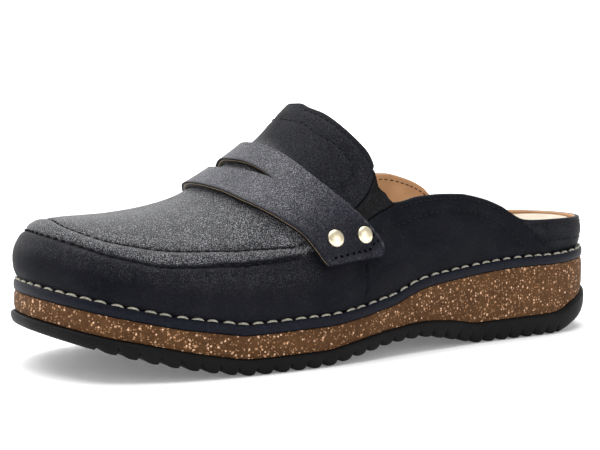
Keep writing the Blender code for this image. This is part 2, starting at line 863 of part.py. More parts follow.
def main():
    for old in list(bpy.data.objects):
        bpy.data.objects.remove(old, do_unlink=True)
    bodies = [build_outsole(), build_midsole(), build_welt(), build_insole(), build_upper()]
    elastic = shade("elastic_black", (0.012, 0.012, 0.014), 0.8)
    bodies.append(build_gore(LATERAL, "gore_lateral", elastic))
    bodies.append(build_gore(MEDIAL, "gore_medial", elastic))
    bodies.append(build_strap())
    brass = shade("brass", (0.72, 0.55, 0.28), 0.3, 1.0)
    for side, side_name in ((LATERAL, "lateral"), (MEDIAL, "medial")):
        for place, down, across in RIVET_PLACES:
            name = f"rivet_{side_name}_{place}"
            bodies.append(build_rivet(name, down, across, side, brass))
    centre(bodies)


if __name__ == "__main__":
    main()
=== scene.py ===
"""Looks of a left clog: oiled nubuck, a saddle strap, cork, rubber, thread and lining.

Each piece follows the same form as the solid that it replaces, in finer steps. The toe
points along -X, the lateral side faces -Y, lengths are metres and the ground is z = 0.
A place round the shoe is an angle: 0 at the toe, positive along the lateral side, pi at
the heel, negative along the medial side.
"""

import math

import bmesh
import bpy
import numpy as np
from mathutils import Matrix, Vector
from mathutils.bvhtree import BVHTree


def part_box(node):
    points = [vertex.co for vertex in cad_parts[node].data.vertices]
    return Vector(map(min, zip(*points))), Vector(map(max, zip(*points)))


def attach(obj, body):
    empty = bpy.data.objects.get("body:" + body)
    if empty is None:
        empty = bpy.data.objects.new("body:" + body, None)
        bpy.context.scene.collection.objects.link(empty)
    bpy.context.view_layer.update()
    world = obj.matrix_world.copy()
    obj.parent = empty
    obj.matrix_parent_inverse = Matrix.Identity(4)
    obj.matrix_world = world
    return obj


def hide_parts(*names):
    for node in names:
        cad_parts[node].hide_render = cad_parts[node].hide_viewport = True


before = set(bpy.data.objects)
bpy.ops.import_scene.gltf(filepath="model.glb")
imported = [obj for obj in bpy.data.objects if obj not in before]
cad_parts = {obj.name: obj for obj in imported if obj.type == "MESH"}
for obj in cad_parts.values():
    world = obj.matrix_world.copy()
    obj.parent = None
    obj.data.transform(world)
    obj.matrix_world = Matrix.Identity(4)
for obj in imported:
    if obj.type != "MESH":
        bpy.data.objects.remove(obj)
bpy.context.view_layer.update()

# Sizes of the sole
LENGTH = 0.262
BALL_WIDTH = 0.097
TOE_SPRING = 0.017
ARCH_RISE = 0.0057
HEEL_ROLL = 0.010
RUBBER = 0.0088
RUBBER_LIP = 0.0015
LUG_PITCH = 0.0071
LUG_DEPTH = 0.0024
FIRST_LUG = 0.0170
FIRST_CUT = 0.5
LAST_LUG = 0.2290
CORK = 0.0213
WELT_HEIGHT = 0.0040
WELT_WIDTH = 0.0036
FOOTBED = 0.0165
FOOTBED_ROOM = 0.00075
FOOTBED_ROUND = 0.0016
HEEL_CUP = 0.0045

# Sizes of the upper
TONGUE_HEIGHT = 0.1008
UPPER_INSET = 0.0021
WALL = 0.0024
CROWN = 0.0008
BELLY = 0.0015
BELLY_HEIGHT = 0.020
CREASE = 0.0009
CREASE_HEIGHT = 0.004
BAND_RAISE = 0.0010
SEAM_DEPTH = 0.0005
SEAM_WIDTH = 0.0011
GORE_RECESS = 0.0016
GORE_THICKNESS = 0.0010
GORE_MARGIN = 0.0004
RIB_PITCH = 0.0016
RIB_HEIGHT = 0.00016
HEEL_BAND_STEP = 0.0011
TONGUE_END = 0.5145
GORE_START = 0.445
GORE_END = 0.5460
QUARTER_BACK = 0.798
QUARTER_FOOT = 0.862
BAND_END = 0.345
BAND_GONE = 0.374
QUARTER_SWEEP = 0.8

# Sizes of the strap and rivets
STRAP = 0.0023
STRAP_LIFT = 0.0006
STRAP_ROUND = 0.0005
SLOT_HALF = 0.48
SLOT_WIDTH = 0.12
SLOT_MIDDLE = 0.52
SLOT_DRIFT = 0.07
CORNER_START = 0.955
FRONT_CORNER = 0.045
REAR_CORNER = 0.13
RIVET_DIAMETER = 0.0068
RIVET_DOME = 0.0017
RIVET_RIM = 0.0004
RIVET_PLACES = (("front", 0.895, 0.36), ("rear", 0.920, 0.80))

# Painted top light, the pale speckles on upward-facing leather: its share on the tongue and on
# the flanks below the apron, as shares of the vamp's, the share of it that the strap's tabs lose,
# and how much less leather above the flanks has to face up for it
TONGUE_PAINTED_LIGHT = 0.075
SIDE_PAINTED_LIGHT = 0.13
TAB_SHADE = 0.68
BAND_LEAN = 0.35

# Leather beside a row of thread: depth and width of its groove, and height, distance and
# width of the swell next to it; then the seam where vamp and quarter meet
PUCKER_DEPTH = 0.00028
PUCKER_WIDTH = 0.0009
SWELL_HEIGHT = 0.00016
SWELL_PLACE = 0.0026
SWELL_WIDTH = 0.0013
JOIN_DEPTH = 0.0008
JOIN_WIDTH = 0.0008

# Threads and holes: pitch, length and radius
APRON_LOW_THREAD = (0.0042, 0.0027, 0.00052)
APRON_HIGH_THREAD = (0.0037, 0.0023, 0.00045)
PANEL_THREAD = (0.0030, 0.0021, 0.00032)
EDGE_THREAD = (0.0028, 0.0019, 0.00030)
QUARTER_EDGE_THREAD = (0.0026, 0.0018, 0.00030)
WELT_THREAD = (0.0058, 0.0043, 0.00062)
FOOT_HOLES = (0.0026, 0.0012, 0.00052)
REAR_HOLES = (0.0028, 0.0012, 0.00050)

# Steps of the grids, and how far across a seam its sides have sunk, with the share sunk
SIDE_ROWS = 42
BAND_ROWS = 20
TOP_ROWS = 30
SEAM_SIDE = ((0.45, 0.06), (0.75, 0.30), (0.92, 0.62), (1.0, 1.0))
SEAM_RISE = ((0.08, 0.62), (0.25, 0.30), (0.55, 0.06), (1.0, 0.0))
STRAP_COLUMNS = 13
STITCH_SIDES = 8
STITCH_RINGS = 7
STITCH_CAP = np.array([[0, 1, 2, 3], [0, 3, 4, 5], [0, 5, 6, 7]])
LINE_STEP = 0.0005

# Small angles, in radians, over which slopes of the form are taken
EDGE_TURN = 0.004
SKIN_TURN = 0.01
POLE_TURN = 0.2
SLIM_LIFT = 0.0001

GAP = 0.0003
MERGE = 0.000004
LATERAL = -1
MEDIAL = 1
SIDES = (LATERAL, MEDIAL)
MM = 0.001
WHITE = (1.0, 1.0, 1.0, 1.0)


class Table:
    """Rows of shares, one row for each station, read as smooth curves."""

    def __init__(self, columns, rows):
        self.values = dict(zip(columns, np.array(rows, float).T))
        self.key = columns[0]

    def at(self, name, station):
        xs = self.values[self.key]
        ys = self.values[name]
        width = np.diff(xs)
        slopes = np.diff(ys) / width
        before = slopes[:-1]
        after = slopes[1:]
        level = before * after <= 0
        total = np.where(level, 1.0, before + after)
        inner = np.where(level, 0.0, 2 * before * after / total)
        tangents = np.concatenate((slopes[:1], inner, slopes[-1:]))
        station = np.clip(station, xs[0], xs[-1])
        i = np.clip(np.searchsorted(xs, station, side="right") - 1, 0, len(xs) - 2)
        t = (station - xs[i]) / width[i]
        start = (1 + 2 * t) * (1 - t) ** 2 * ys[i] + t * (1 - t) ** 2 * width[i] * tangents[i]
        end = t * t * (3 - 2 * t) * ys[i + 1] - t * t * (1 - t) * width[i] * tangents[i + 1]
        return start + end


# Half widths as shares of BALL_WIDTH; bend is the sideways shift of the centre line
OUTLINE = Table(
    ("station", "lateral", "medial", "bend"),
    (
        (0.000, 0.850, 0.830, 0.036),
        (0.040, 0.840, 0.770, 0.034),
        (0.115, 0.715, 0.675, 0.027),
        (0.240, 0.610, 0.568, 0.014),
        (0.360, 0.540, 0.485, 0.004),
        (0.460, 0.487, 0.403, 0.000),
        (0.570, 0.432, 0.344, 0.000),
        (0.690, 0.4165, 0.356, 0.000),
        (0.780, 0.4505, 0.419, 0.000),
        (0.880, 0.543, 0.527, 0.000),
        (0.950, 0.638, 0.615, 0.000),
        (1.000, 0.720, 0.700, 0.000),
    ),
)

# Height of the tread as shares of TOE_SPRING, ARCH_RISE and HEEL_ROLL, and the thickness
# of rubber and cork as shares of RUBBER and CORK
SOLE = Table(
    ("station", "spring", "arch", "roll", "rubber", "cork"),
    (
        (0.000, 1.000, 0.00, 0.00, 0.53, 0.340),
        (0.065, 0.706, 0.00, 0.00, 0.60, 0.350),
        (0.140, 0.376, 0.00, 0.00, 0.73, 0.340),
        (0.230, 0.090, 0.00, 0.00, 0.70, 0.380),
        (0.275, 0.000, 0.00, 0.00, 0.67, 0.390),
        (0.390, 0.000, 0.00, 0.00, 0.68, 0.410),
        (0.460, 0.000, 0.44, 0.00, 0.68, 0.370),
        (0.520, 0.000, 0.86, 0.00, 0.65, 0.400),
        (0.580, 0.000, 1.00, 0.00, 0.70, 0.585),
        (0.650, 0.000, 0.51, 0.00, 0.88, 0.770),
        (0.710, 0.000, 0.00, 0.00, 0.95, 0.950),
        (0.800, 0.000, 0.00, 0.00, 1.00, 1.000),
        (0.865, 0.000, 0.00, 0.00, 1.03, 0.990),
        (0.930, 0.000, 0.00, 0.40, 1.13, 0.800),
        (1.000, 0.000, 0.00, 1.00, 1.02, 0.620),
    ),
)

# Top of the footbed's edge as a share of FOOTBED, and its hollow as a share of HEEL_CUP
BED = Table(
    ("station", "edge", "hollow"),
    (
        (0.00, 0.36, 0.10),
        (0.35, 0.40, 0.20),
        (0.50, 0.60, 0.45),
        (0.62, 0.84, 0.75),
        (0.75, 0.98, 1.00),
        (0.93, 1.00, 0.85),
        (1.00, 1.00, 0.50),
    ),
)

# The form of the upper: where a column's top lies, how far the ridge stands to the medial
# side, its height, and the squareness of the arch
FORM = Table(
    ("station", "spine", "lean", "ridge", "power"),
    (
        (0.000, 0.100, 0.036, 0.5640, 3.10),
        (0.040, 0.112, 0.036, 0.5640, 2.90),
        (0.100, 0.150, 0.036, 0.5680, 2.60),
        (0.150, 0.185, 0.036, 0.5790, 2.40),
        (0.200, 0.220, 0.038, 0.5970, 2.25),
        (0.260, 0.264, 0.042, 0.6370, 2.10),
        (0.290, 0.290, 0.044, 0.6740, 2.00),
        (0.340, 0.340, 0.048, 0.7530, 1.94),
        (0.397, 0.397, 0.052, 0.8620, 1.90),
        (0.430, 0.430, 0.054, 0.9480, 1.88),
        (0.451, 0.451, 0.055, 1.0000, 1.88),
        (0.5200, 0.5200, 0.050, 1.1100, 1.85),
        (0.600, 0.600, 0.030, 1.1330, 1.85),
        (0.750, 0.730, 0.000, 1.1330, 1.90),
        (0.900, 0.800, 0.000, 1.1330, 1.90),
        (1.000, 0.830, 0.000, 1.1330, 1.90),
    ),
)

# Edges of the panels as shares of the arch's height above the welt
PANELS = Table(
    ("station", "low", "high"),
    (
        (0.000, 0.775, 0.962),
        (0.020, 0.722, 0.902),
        (0.041, 0.671, 0.843),
        (0.079, 0.576, 0.752),
        (0.110, 0.530, 0.705),
        (0.154, 0.478, 0.651),
        (0.197, 0.477, 0.624),
        (0.240, 0.472, 0.596),
        (0.283, 0.438, 0.547),
        (0.326, 0.393, 0.484),
        (0.362, 0.370, 0.440),
        (0.450, 0.362, 0.440),
        (0.472, 0.364, 0.456),
        (0.494, 0.371, 0.481),
        (0.509, 0.378, 0.526),
        (0.514, 0.380, 0.572),
        (0.546, 0.395, 0.572),
    ),
)

# Height of the open edge as a share of TONGUE_HEIGHT, and what the medial side adds
TOPLINE = Table(
    ("station", "height", "medial"),
    (
        (0.4510, 1.000, 0.000),
        (0.4525, 0.984, 0.000),
        (0.4570, 0.973, 0.000),
        (0.4630, 0.961, 0.000),
        (0.4748, 0.923, 0.000),
        (0.4872, 0.881, 0.000),
        (0.4982, 0.844, 0.000),
        (0.5084, 0.807, 0.000),
        (0.5125, 0.778, 0.000),
        (0.5145, 0.745, 0.000),
        (0.5170, 0.676, 0.000),
        (0.5275, 0.650, 0.000),
        (0.5460, 0.603, 0.010),
        (0.5925, 0.623, 0.040),
        (0.6330, 0.628, 0.060),
        (0.6740, 0.625, 0.065),
        (0.7140, 0.606, 0.060),
        (0.7540, 0.570, 0.055),
        (0.7980, 0.508, 0.030),
        (0.8250, 0.501, 0.008),
        (0.8500, 0.500, 0.000),
        (1.0000, 0.500, 0.000),
    ),
)

# Edges of the strap from the ridge (0) to the foot of its tab (1)
STRAP_EDGES = Table(
    ("down", "front", "front_height", "rear", "rear_height"),
    (
        (0.00, 0.2788, 0.6590, 0.3722, 0.8110),
        (0.19, 0.2835, 0.6500, 0.3790, 0.7990),
        (0.32, 0.2915, 0.6380, 0.3860, 0.7770),
        (0.46, 0.3038, 0.6120, 0.3970, 0.7380),
        (0.60, 0.3250, 0.5780, 0.4130, 0.6840),
        (0.73, 0.3475, 0.5360, 0.4390, 0.6170),
        (0.83, 0.3700, 0.4900, 0.4649, 0.5530),
        (0.92, 0.3861, 0.4320, 0.4880, 0.4880),
        (0.97, 0.3945, 0.3980, 0.5020, 0.4360),
        (1.00, 0.3990, 0.3740, 0.5060, 0.4000),
    ),
)

# Rows of thread on the leather: station, and height as a share of TONGUE_HEIGHT
TONGUE_ROW = (
    (0.4240, 0.9320),
    (0.4260, 0.927),
    (0.4335, 0.917),
    (0.4429, 0.874),
    (0.4590, 0.839),
    (0.4733, 0.788),
    (0.4800, 0.742),
    (0.4760, 0.716),
    (0.4680, 0.698),
    (0.4484, 0.644),
)
QUARTER_ROW = (
    (0.4950, 0.485),
    (0.5101, 0.493),
    (0.5470, 0.513),
    (0.5865, 0.541),
    (0.6276, 0.556),
    (0.6618, 0.556),
    (0.6966, 0.545),
    (0.7357, 0.504),
    (0.7621, 0.466),
    (0.7894, 0.406),
    (0.8071, 0.354),
)


# Plan and heights of the shoe


def smooth(start, end, value):
    t = np.clip((value - start) / (end - start), 0.0, 1.0)
    return t * t * (3 - 2 * t)


def station_of(angle):
    return (1 - np.cos(angle)) / 2


def turn_of(station):
    return np.arccos(1 - 2 * np.asarray(station, float))


def unit(vectors):
    return vectors / np.linalg.norm(vectors, axis=-1, keepdims=True)


def rim(angle):
    station = station_of(angle)
    lateral = np.sin(angle) >= 0
    half = np.where(lateral, OUTLINE.at("lateral", station), OUTLINE.at("medial", station))
    across = OUTLINE.at("bend", station) - half * np.sin(angle)
    return np.stack(((station - 0.5) * LENGTH, across * BALL_WIDTH), -1)


def outline(angle, inset):
    """Point of the outline moved inwards, square to the edge."""
    along = rim(angle + EDGE_TURN) - rim(angle - EDGE_TURN)
    outward_way = unit(np.stack((along[..., 1], -along[..., 0]), -1))
    return rim(angle) - np.asarray(inset)[..., None] * outward_way


def tread_height(station):
    spring = TOE_SPRING * SOLE.at("spring", station)
    return spring + ARCH_RISE * SOLE.at("arch", station) + HEEL_ROLL * SOLE.at("roll", station)


def rubber_top(station):
    return tread_height(station) + RUBBER * SOLE.at("rubber", station)


def cork_top(station):
    return rubber_top(station) + GAP + CORK * SOLE.at("cork", station)


def welt_top(station):
    return cork_top(station) + GAP + WELT_HEIGHT


def ridge_height(station):
    return TONGUE_HEIGHT * FORM.at("ridge", station)


# Form of the upper


def arch(angle, lift):
    """Point of the plain outer surface; past a right angle of lift it runs down the far side."""
    angle, lift = np.broadcast_arrays(np.asarray(angle, float), np.asarray(lift, float))
    far = lift > math.pi / 2
    angle = np.where(far, -angle, angle)
    lift = np.where(far, math.pi - lift, lift)
    station = station_of(angle)
    power = FORM.at("power", station)
    middle = np.stack(
        ((FORM.at("spine", station) - 0.5) * LENGTH, FORM.at("lean", station) * BALL_WIDTH), -1
    )
    edge = outline(angle, np.full(angle.shape, UPPER_INSET))
    base = welt_top(station) + GAP
    top = ridge_height(station)
    flat = np.maximum(np.cos(lift), 0.0)
    steep = np.sin(lift)
    reach = (flat ** power + steep ** power) ** (-1 / power)
    place = middle + (edge - middle) * (reach * flat)[..., None]
    height = base + (top - base) * reach * steep
    return np.concatenate((place, height[..., None]), -1)


def lift_at_share(station, share):
    share = np.clip(share, 0.0, 1.0)
    power = FORM.at("power", station)
    return np.arctan2(share, (1 - share ** power) ** (1 / power))


def lift_at_height(station, height):
    base = welt_top(station) + GAP
    top = ridge_height(station)
    return lift_at_share(station, (height - base) / (top - base))


def outward(angle, lift):
    """Direction square to the plain surface; at the toe's pole it is that of a near point."""
    angle, lift = np.broadcast_arrays(np.asarray(angle, float), np.asarray(lift, float))
    pole = (np.abs(angle) < SKIN_TURN) & (np.abs(lift - math.pi / 2) < SKIN_TURN)
    angle = np.where(pole, POLE_TURN, angle)
    along = arch(angle + SKIN_TURN, lift) - arch(angle - SKIN_TURN, lift)
    up = arch(angle, lift + SKIN_TURN) - arch(angle, np.maximum(lift - SKIN_TURN, 0.0))
    return unit(np.cross(along, up))


def lift_length(angle, low, high):
    """Length on the leather of one radian of lift, from two lifts a small step apart."""
    return np.linalg.norm(arch(angle, high) - arch(angle, low), axis=-1) / SKIN_TURN


def skin(angle, lift, offset):
    """Point at a distance outside the plain surface, with the side's swell and crease."""
    plain = arch(angle, lift)
    out = outward(angle, lift)
    above = plain[..., 2] - arch(angle, np.zeros_like(plain[..., 2]))[..., 2]
    swell = BELLY * np.sin(math.pi * np.minimum(above / BELLY_HEIGHT, 1.0))
    swell = swell - CREASE * np.maximum(0.0, 1 - above / CREASE_HEIGHT) ** 2
    foot = np.broadcast_to(np.asarray(lift) == 0.0, above.shape)[..., None]
    level = unit(out * (1, 1, 0) + 1e-12)
    out = np.where(foot, level, out)
    return plain + out * (offset + swell)[..., None]


def edge_height(station, side):
    height = TOPLINE.at("height", station)
    if side == MEDIAL:
        height = height + TOPLINE.at("medial", station)
    return height * TONGUE_HEIGHT - CROWN


def find_front():
    """Station where the tongue's edge crosses the ridge."""
    stations = np.linspace(0.44, 0.452, 600)
    return stations[np.argmax(ridge_height(stations) > edge_height(stations, LATERAL))]


TONGUE_FRONT = find_front()


def top_lift(station, side):
    lift = lift_at_height(station, edge_height(station, side))
    return np.where(station <= TONGUE_FRONT, math.pi / 2, lift)


def panel_lifts(station, side):
    top = top_lift(station, side)
    low = np.minimum(lift_at_share(station, PANELS.at("low", station)), top)
    high = np.minimum(lift_at_share(station, PANELS.at("high", station)), top)
    high = np.where(station >= TONGUE_END, top, np.maximum(low, high))
    share = np.clip((QUARTER_FOOT - station) / (QUARTER_FOOT - QUARTER_BACK), 0.0, 1.0)
    low = np.where(station >= GORE_END, share ** QUARTER_SWEEP * top, low)
    high = np.where(station >= GORE_END, top, high)
    return low, high, top


# Building meshes


def add_object(name, data):
    thing = bpy.data.objects.new(name, data)
    bpy.context.scene.collection.objects.link(thing)
    return thing


class Shell:
    """Collects grids of points, with a mark on each face for its material, and a value on
    each point for the share of painted top light that it can have."""

    def __init__(self):
        self.points = []
        self.faces = []
        self.marks = []
        self.values = []
        self.count = 0

    def grid(self, points, mark=0, flip=False, loop=False, value=1.0):
        """Add a grid; mark is one number, or one for each step along the second axis."""
        rows, cols = points.shape[:2]
        first = np.arange(rows if loop else rows - 1)[:, None] * cols + np.arange(cols - 1)
        second = (first + cols) % (rows * cols)
        quads = np.stack((first, second, second + 1, first + 1), -1).reshape(-1, 4)
        if flip:
            quads = quads[:, ::-1]
        marks = np.broadcast_to(np.asarray(mark), first.shape).reshape(-1)
        values = np.broadcast_to(np.asarray(value, float), points.shape[:2]).reshape(-1)
        self.add(points.reshape(-1, 3), quads, marks, values)

    def add(self, points, faces, marks=0, values=1.0):
        self.values.append(np.broadcast_to(np.asarray(values, float), len(points)))
        self.points.append(np.asarray(points, float))
        self.faces.append(np.asarray(faces) + self.count)
        self.marks.append(np.broadcast_to(np.asarray(marks), len(faces)))
        self.count += len(points)

    def build(self, name, materials, angle=40.0):
        points = np.concatenate(self.points) + SHIFT
        mesh = bpy.data.meshes.new(name)
        faces = np.concatenate(self.faces)
        mesh.from_pydata(points.tolist(), [], faces.tolist())
        mesh.polygons.foreach_set("material_index", np.concatenate(self.marks).astype(np.int32))
        panel = mesh.attributes.new("panel", "FLOAT", "POINT")
        panel.data.foreach_set("value", np.concatenate(self.values))
        shape = bmesh.new()
        shape.from_mesh(mesh)
        bmesh.ops.remove_doubles(shape, verts=shape.verts[:], dist=MERGE)
        bmesh.ops.dissolve_degenerate(shape, edges=shape.edges[:], dist=MERGE)
        bmesh.ops.recalc_face_normals(shape, faces=shape.faces[:])
        shape.to_mesh(mesh)
        shape.free()
        mesh.shade_smooth()
        mesh.set_sharp_from_angle(angle=math.radians(angle))
        for material in materials:
            mesh.materials.append(material)
        piece = add_object(name, mesh)
        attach(piece, "root")
        return piece


def even_angles(count):
    return np.linspace(0.0, math.pi, count + 1)


def slab(turns, profile, across=None):
    """Closed slab with its side profile swept round the outline.

    profile(angle) gives insets and heights, one row for each angle, from the bottom edge to
    the top edge. across(turn, share) gives how much lower the top is than its edges.
    """
    shell = Shell()
    shares = np.linspace(0.0, 1.0, 25)
    ends = {}
    for side in SIDES:
        angles = -side * turns
        insets, heights = profile(angles)
        plan = outline(angles[:, None] + insets * 0, insets)
        points = np.concatenate((plan, heights[..., None]), -1)
        shell.grid(points, flip=side == MEDIAL)
        ends[side] = points
    for row, sign in ((0, True), (-1, False)):
        left = ends[LATERAL][:, row]
        right = ends[MEDIAL][:, row]
        cap = left[:, None] + (right - left)[:, None] * shares[:, None]
        if row == -1 and across is not None:
            cap[..., 2] -= across(turns[:, None], shares[None, :])
        shell.grid(cap, flip=sign)
    return shell


def soft_rows(rows, count):
    """More rows along a smooth curve through a few."""
    table = Table(("step", "out", "up"), [(i, *row) for i, row in enumerate(rows)])
    steps = np.linspace(0, len(rows) - 1, count)
    return table.at("out", steps), table.at("up", steps)


# Shades and grain


class Look:
    """A material with its nodes, patterned in the object's own sizes."""

    def __init__(self, name, colour, roughness, **values):
        self.material = bpy.data.materials.new(name)
        self.material.use_nodes = True
        self.tree = self.material.node_tree
        self.surface = self.tree.nodes["Principled BSDF"]
        self.set("Base Color", (*colour, 1.0))
        self.set("Roughness", roughness)
        for key, value in values.items():
            self.set(key.replace("_", " "), value)
        self.place = self.add("ShaderNodeTexCoord").outputs["Object"]
        self.normal = None

    def add(self, kind, inputs=None, **settings):
        node = self.tree.nodes.new(kind)
        for key, value in settings.items():
            setattr(node, key, value)
        for key, value in (inputs or {}).items():
            self.plug(node.inputs[key], value)
        return node

    def plug(self, socket, value):
        if isinstance(value, bpy.types.NodeSocket):
            self.tree.links.new(value, socket)
        else:
            socket.default_value = value

    def set(self, name, value):
        self.plug(self.surface.inputs[name], value)

    def noise(self, size, detail=2.0, roughness=0.5):
        inputs = {"Vector": self.place, "Scale": 1 / size, "Detail": detail, "Roughness": roughness}
        return self.add("ShaderNodeTexNoise", inputs).outputs["Fac"]

    def cells(self, size, place):
        return self.add("ShaderNodeTexVoronoi", {"Vector": place, "Scale": 1 / size})

    def span(self, value, low, high, start=0.0, end=1.0):
        inputs = {"Value": value, "From Min": low, "From Max": high, "To Min": start, "To Max": end}
        return self.add("ShaderNodeMapRange", inputs).outputs["Result"]

    def math(self, operation, first, second=0.0):
        return self.add("ShaderNodeMath", {0: first, 1: second}, operation=operation).outputs[0]

    def mix(self, factor, first, second):
        node = self.add("ShaderNodeMix", data_type="RGBA")
        self.plug(node.inputs["Factor"], factor)
        for socket, value in ((node.inputs[6], first), (node.inputs[7], second)):
            self.plug(socket, (*value, 1.0) if isinstance(value, tuple) else value)
        return node.outputs[2]

    def bump(self, height, distance, strength=1.0):
        inputs = {"Height": height, "Distance": distance, "Strength": strength}
        if self.normal is not None:
            inputs["Normal"] = self.normal
        self.normal = self.add("ShaderNodeBump", inputs).outputs["Normal"]
        self.set("Normal", self.normal)

    def near_seam(self, reach):
        """1 on a seam, 0 at a distance from it."""
        distance = self.add("ShaderNodeAttribute", attribute_name="seam").outputs["Fac"]
        return self.span(distance, 0.0, reach, 1.0, 0.0)


def nubuck(name, dark, light, painted_glint, grain_size, roughness, painted_light_low):
    """Oiled nubuck: deep on the flanks, with painted top light, pale speckles and more specular, on
    what faces upwards.
    """
    look = Look(name, dark, roughness)
    fine = look.noise(grain_size, 2.0, 0.65)
    cloud = look.noise(0.016, 3.0, 0.55)
    patches = look.noise(0.0045, 3.0, 0.6)
    colour = look.mix(look.span(cloud, 0.35, 0.68), dark, light)
    # Painted top light: a point attribute that grows as the leather faces upwards raises the specular
    # and lets pale speckles into the colour
    painted_top_light = look.add("ShaderNodeAttribute", attribute_name="painted_top_light").outputs["Fac"]
    look.set("Specular IOR Level", look.span(painted_top_light, 0.0, 0.6, 0.035, 0.22))
    painted_top_light = look.span(painted_top_light, 0.0, 1.0, painted_light_low, 1.0)
    grain = look.span(fine, 0.49, 0.62)
    grain = look.math("MULTIPLY", grain, look.span(patches, 0.30, 0.62, 0.45, 1.0))
    # The grain's pale speckles show only as far as the painted top light reaches
    grain = look.math("MULTIPLY", grain, painted_top_light)
    colour = look.mix(grain, colour, painted_glint)
    # Painted shade: the leather is darkened to near black within 0.45 mm of the rows of thread and
    # the seams where vamp and quarter meet, in their grooves
    colour = look.mix(look.near_seam(0.45 * MM), colour, (0.002, 0.002, 0.003))
    look.set("Base Color", colour)
    rough = look.span(patches, 0.3, 0.7, roughness - 0.07, roughness + 0.09)
    look.set("Roughness", rough)
    look.bump(look.noise(0.004, 2.0, 0.5), 0.00012, 0.55)
    look.bump(fine, 0.00007, 0.8)
    return look.material


# The third colour of each is its pale speckle, a painted highlight on leather that faces upwards
LEATHER = nubuck(
    "navy_nubuck", (0.0036, 0.0042, 0.0068), (0.0080, 0.0085, 0.0118), (0.285, 0.285, 0.300),
    0.00042, 0.55, 0.03,
)
STRAP_LEATHER = nubuck(
    "strap_leather", (0.0066, 0.0070, 0.0114), (0.0105, 0.0108, 0.0170), (0.235, 0.235, 0.265),
    0.00038, 0.50, 0.035,
)


def grained(name, colour, roughness, specular, noise, span, shades, bump):
    """Two shades in a fine noise, which is also the bump."""
    look = Look(name, colour, roughness)
    look.set("Specular IOR Level", specular)
    fine = look.noise(*noise)
    look.set("Base Color", look.mix(look.span(fine, *span), *shades))
    look.bump(fine, *bump)
    return look.material


def clouded(name, colour, roughness, sheen, sizes, shades, span, fleck):
    """Two shades in a cloud, with finer flecks that are also the bump."""
    look = Look(name, colour, roughness, Sheen_Weight=sheen)
    fine = look.noise(sizes[0], 3.0, 0.6)
    cloud = look.noise(sizes[1], 3.0, 0.5)
    colour = look.mix(look.span(cloud, 0.3, 0.7), *shades)
    look.set("Base Color", look.mix(look.span(fine, *span), colour, fleck))
    look.bump(fine, 0.00012, 0.6)
    return look.material


def make_edge_paint():
    look = Look("edge_paint", (0.006, 0.006, 0.007), 0.6)
    look.set("Specular IOR Level", 0.12)
    look.bump(look.noise(0.0008, 3.0, 0.6), 0.00015, 0.6)
    return look.material


def make_cork():
    look = Look("cork", (0.17, 0.085, 0.04), 0.8)
    look.set("Specular IOR Level", 0.15)
    bend = look.add("ShaderNodeTexNoise", {"Vector": look.place, "Scale": 900.0, "Detail": 2.0})
    shaken = look.add(
        "ShaderNodeVectorMath",
        {0: bend.outputs["Color"], 1: (0.0009, 0.0009, 0.0009)},
        operation="MULTIPLY",
    )
    place = look.add(
        "ShaderNodeVectorMath", {0: look.place, 1: shaken.outputs[0]}, operation="ADD"
    ).outputs[0]
    cloud = look.noise(0.012, 3.0, 0.6)
    grain = look.noise(0.0011, 4.0, 0.7)
    colour = look.mix(look.span(cloud, 0.3, 0.7), (0.050, 0.021, 0.0078), (0.090, 0.041, 0.0152))
    colour = look.mix(look.span(grain, 0.40, 0.75, 0.0, 0.6), colour, (0.165, 0.080, 0.031))
    height = look.math("MULTIPLY", grain, 0.5)
    # Size, rarity, reach and colour of the pale flecks
    rows = (
        (0.0019, 0.78, 0.32, (0.46, 0.25, 0.13)),
        (0.0013, 0.74, 0.36, (0.78, 0.50, 0.32)),
        (0.0008, 0.66, 0.40, (0.46, 0.25, 0.13)),
    )
    for size, rare, reach, shade in rows:
        cells = look.cells(size, place)
        channel = look.add("ShaderNodeSeparateColor", {0: cells.outputs["Color"]})
        chosen = look.span(channel.outputs[0], rare, rare + 0.05)
        core = look.span(cells.outputs["Distance"], reach * 0.7, reach, 1.0, 0.0)
        fleck = look.math("MULTIPLY", chosen, core)
        colour = look.mix(fleck, colour, shade)
        height = look.math("ADD", height, look.math("MULTIPLY", fleck, 0.6))
    dark = look.cells(0.0024, place)
    channel = look.add("ShaderNodeSeparateColor", {0: dark.outputs["Color"]})
    chosen = look.span(channel.outputs[1], 0.86, 0.9)
    core = look.span(dark.outputs["Distance"], 0.12, 0.24, 1.0, 0.0)
    pit = look.math("MULTIPLY", chosen, core)
    colour = look.mix(pit, colour, (0.045, 0.022, 0.012))
    look.set("Base Color", colour)
    height = look.math("SUBTRACT", height, look.math("MULTIPLY", pit, 1.2))
    look.bump(height, 0.00025, 0.5)
    return look.material


def make_rubber():
    look = Look("rubber", (0.0045, 0.0045, 0.005), 0.62)
    look.set("Specular IOR Level", 0.12)
    look.bump(look.noise(0.0011, 3.0, 0.6), 0.0001, 0.6)
    look.set("Roughness", look.span(look.noise(0.02, 3.0), 0.3, 0.7, 0.55, 0.72))
    return look.material


def make_thread(name, colour, shadow, roughness):
    return grained(
        name, colour, roughness, 0.15, (0.0005, 2.0, 0.5), (0.35, 0.6), (shadow, colour),
        (0.00015, 0.8),
    )


def make_brass():
    look = Look("pale_brass", (0.88, 0.78, 0.56), 0.34, Metallic=1.0)
    wear = look.noise(0.0012, 3.0, 0.6)
    look.set("Roughness", look.span(wear, 0.3, 0.7, 0.30, 0.40))
    return look.material


# Painted shade: near-black domes stand for the shade inside the tab's stitch holes
def make_hole_shade():
    look = Look("stitch_hole_shade", (0.001, 0.001, 0.001), 0.9)
    look.set("Specular IOR Level", 0.02)
    look.bump(look.noise(0.0006), 0.0001)
    return look.material


